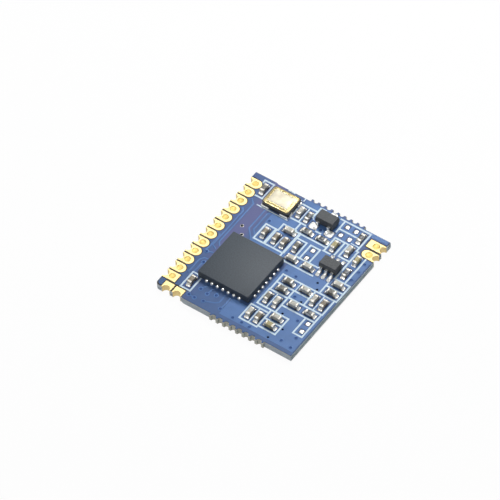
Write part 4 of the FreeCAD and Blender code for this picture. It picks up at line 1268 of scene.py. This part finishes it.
class MODULE_OT_stage(bpy.types.Operator):
    """Lays the pale floor and sets the lamps, the sky and the camera"""

    bl_idname = "module.stage"
    bl_label = "Stage"

    def execute(self, context):
        self.floor()
        self.sky()
        # a soft box behind and above, a weaker one opposite, and a small lamp that glints on solder
        self.lamp("key_softbox", (-0.022, 0.065, 0.10), 0.05, 0.1)
        self.lamp("fill_softbox", (-0.12, -0.24, 0.20), 0.30, 0.09)
        glint = self.lamp("glint_lamp", (0.09, -0.17, 0.34), 0.045, 1.4)
        glint.visible_diffuse = False
        self.camera()
        return {"FINISHED"}

    def link(self, name, data):
        """A new object in the scene."""
        holder = bpy.data.objects.new(name, data)
        bpy.context.scene.collection.objects.link(holder)
        return holder

    def floor(self):
        """A sheet just under the module: white to the camera and to metal, with the shadow kept."""
        mesh = bpy.data.meshes.new("floor")
        half = 2.0
        corners = [(-half, -half, 0), (half, -half, 0), (half, half, 0), (-half, half, 0)]
        mesh.from_pydata(corners, [], [(0, 1, 2, 3)])
        sheet = self.link("floor", mesh)
        sheet.location.z = -0.00002
        made = white_paper()
        tree = made.node_tree
        path = add(tree, "ShaderNodeLightPath")
        rays = {0: (path, "Is Camera Ray"), 1: (path, "Is Glossy Ray")}
        seen = add(tree, "ShaderNodeMath", links=rays, operation="MAXIMUM")
        share = add(tree, "ShaderNodeMath", {1: 0.96}, {0: (seen, 0)}, operation="MULTIPLY")
        glow = add(tree, "ShaderNodeEmission", {"Color": (1, 1, 1, 1), "Strength": 1.0})
        paper = first_node(tree, "ShaderNodeBsdfPrincipled")
        both = {0: (share, 0), 1: (paper, "BSDF"), 2: (glow, "Emission")}
        mixed = add(tree, "ShaderNodeMixShader", links=both)
        tree.links.new(mixed.outputs[0], first_node(tree, "ShaderNodeOutputMaterial").inputs["Surface"])
        mesh.materials.append(made)

    def sky(self):
        """A white tent. Metal sees it brighter than the matt surfaces are lit by it."""
        world = bpy.data.worlds.new("soft white tent")
        bpy.context.scene.world = world
        world.use_nodes = True
        tree = world.node_tree
        tree.nodes.clear()
        light = add(tree, "ShaderNodeBackground", {"Color": (*linear("#F4F7FB"), 1), "Strength": 0.25})
        white = add(tree, "ShaderNodeBackground", {"Color": (1, 1, 1, 1), "Strength": 1.0})
        path = add(tree, "ShaderNodeLightPath")
        mirrored = add(tree, "ShaderNodeMath", {1: 0.75}, {0: (path, "Is Glossy Ray")}, operation="MULTIPLY")
        rays = {0: (path, "Is Camera Ray"), 1: (mirrored, 0)}
        share = add(tree, "ShaderNodeMath", links=rays, operation="MAXIMUM")
        both = {0: (share, 0), 1: (light, "Background"), 2: (white, "Background")}
        mixed = add(tree, "ShaderNodeMixShader", links=both)
        add(tree, "ShaderNodeOutputWorld", links={"Surface": (mixed, "Shader")})

    def lamp(self, name, spot, side, power):
        """A square soft lamp, aimed at the module."""
        light = bpy.data.lights.new(name, "AREA")
        light.size = side
        light.energy = power
        holder = self.link(name, light)
        holder.location = spot
        holder.rotation_mode = "QUATERNION"
        holder.rotation_quaternion = (-Vector(spot)).to_track_quat("-Z", "Y")
        return holder

    def camera(self):
        """The camera, as it stood for the photograph."""
        camera = bpy.data.cameras.new("camera")
        camera.sensor_width = 36
        camera.lens = CAMERA_LENS
        camera.clip_start = 0.01
        camera.clip_end = 10
        place = Vector(CAMERA_AT) * MM
        look = (Vector(CAMERA_AIM) * MM - place).to_track_quat("-Z", "Y").to_matrix()
        turned = look @ Matrix.Rotation(math.radians(CAMERA_ROLL), 3, "Z")
        holder = self.link("camera", camera)
        holder.matrix_world = Matrix.Translation(place) @ turned.to_4x4()
        bpy.context.scene.camera = holder


class MODULE_PT_looks(bpy.types.Panel):
    """Lists the steps that dress the module"""

    bl_idname = "MODULE_PT_looks"
    bl_label = "Radio module"
    bl_space_type = "VIEW_3D"
    bl_region_type = "UI"
    bl_category = "Radio module"

    def draw(self, context):
        for group in (context.scene.module_sizes, context.scene.module_colours):
            for name in type(group).__annotations__:
                self.layout.prop(group, name)
        for step in STEPS:
            self.layout.operator(step.bl_idname)


STEPS = (
    MODULE_OT_board,
    MODULE_OT_copper,
    MODULE_OT_pads,
    MODULE_OT_legend,
    MODULE_OT_chip_parts,
    MODULE_OT_solder,
    MODULE_OT_radio_chip,
    MODULE_OT_crystal,
    MODULE_OT_moulded_parts,
    MODULE_OT_stage,
)
CLASSES = (ModuleSizes, ModuleColours, *STEPS, MODULE_PT_looks)


def register():
    """Makes the classes and the settings known."""
    for each in CLASSES:
        bpy.utils.register_class(each)
    bpy.types.Scene.module_sizes = PointerProperty(type=ModuleSizes)
    bpy.types.Scene.module_colours = PointerProperty(type=ModuleColours)


def unregister():
    """Takes the settings and the classes away again."""
    del bpy.types.Scene.module_colours
    del bpy.types.Scene.module_sizes
    for each in reversed(CLASSES):
        bpy.utils.unregister_class(each)


def main():
    """Dresses the module step by step."""
    register()
    bpy.context.scene.view_settings.view_transform = "Standard"
    for step in STEPS:
        group, name = step.bl_idname.split(".")
        getattr(getattr(bpy.ops, group), name)()


if __name__ == "__main__":
    main()
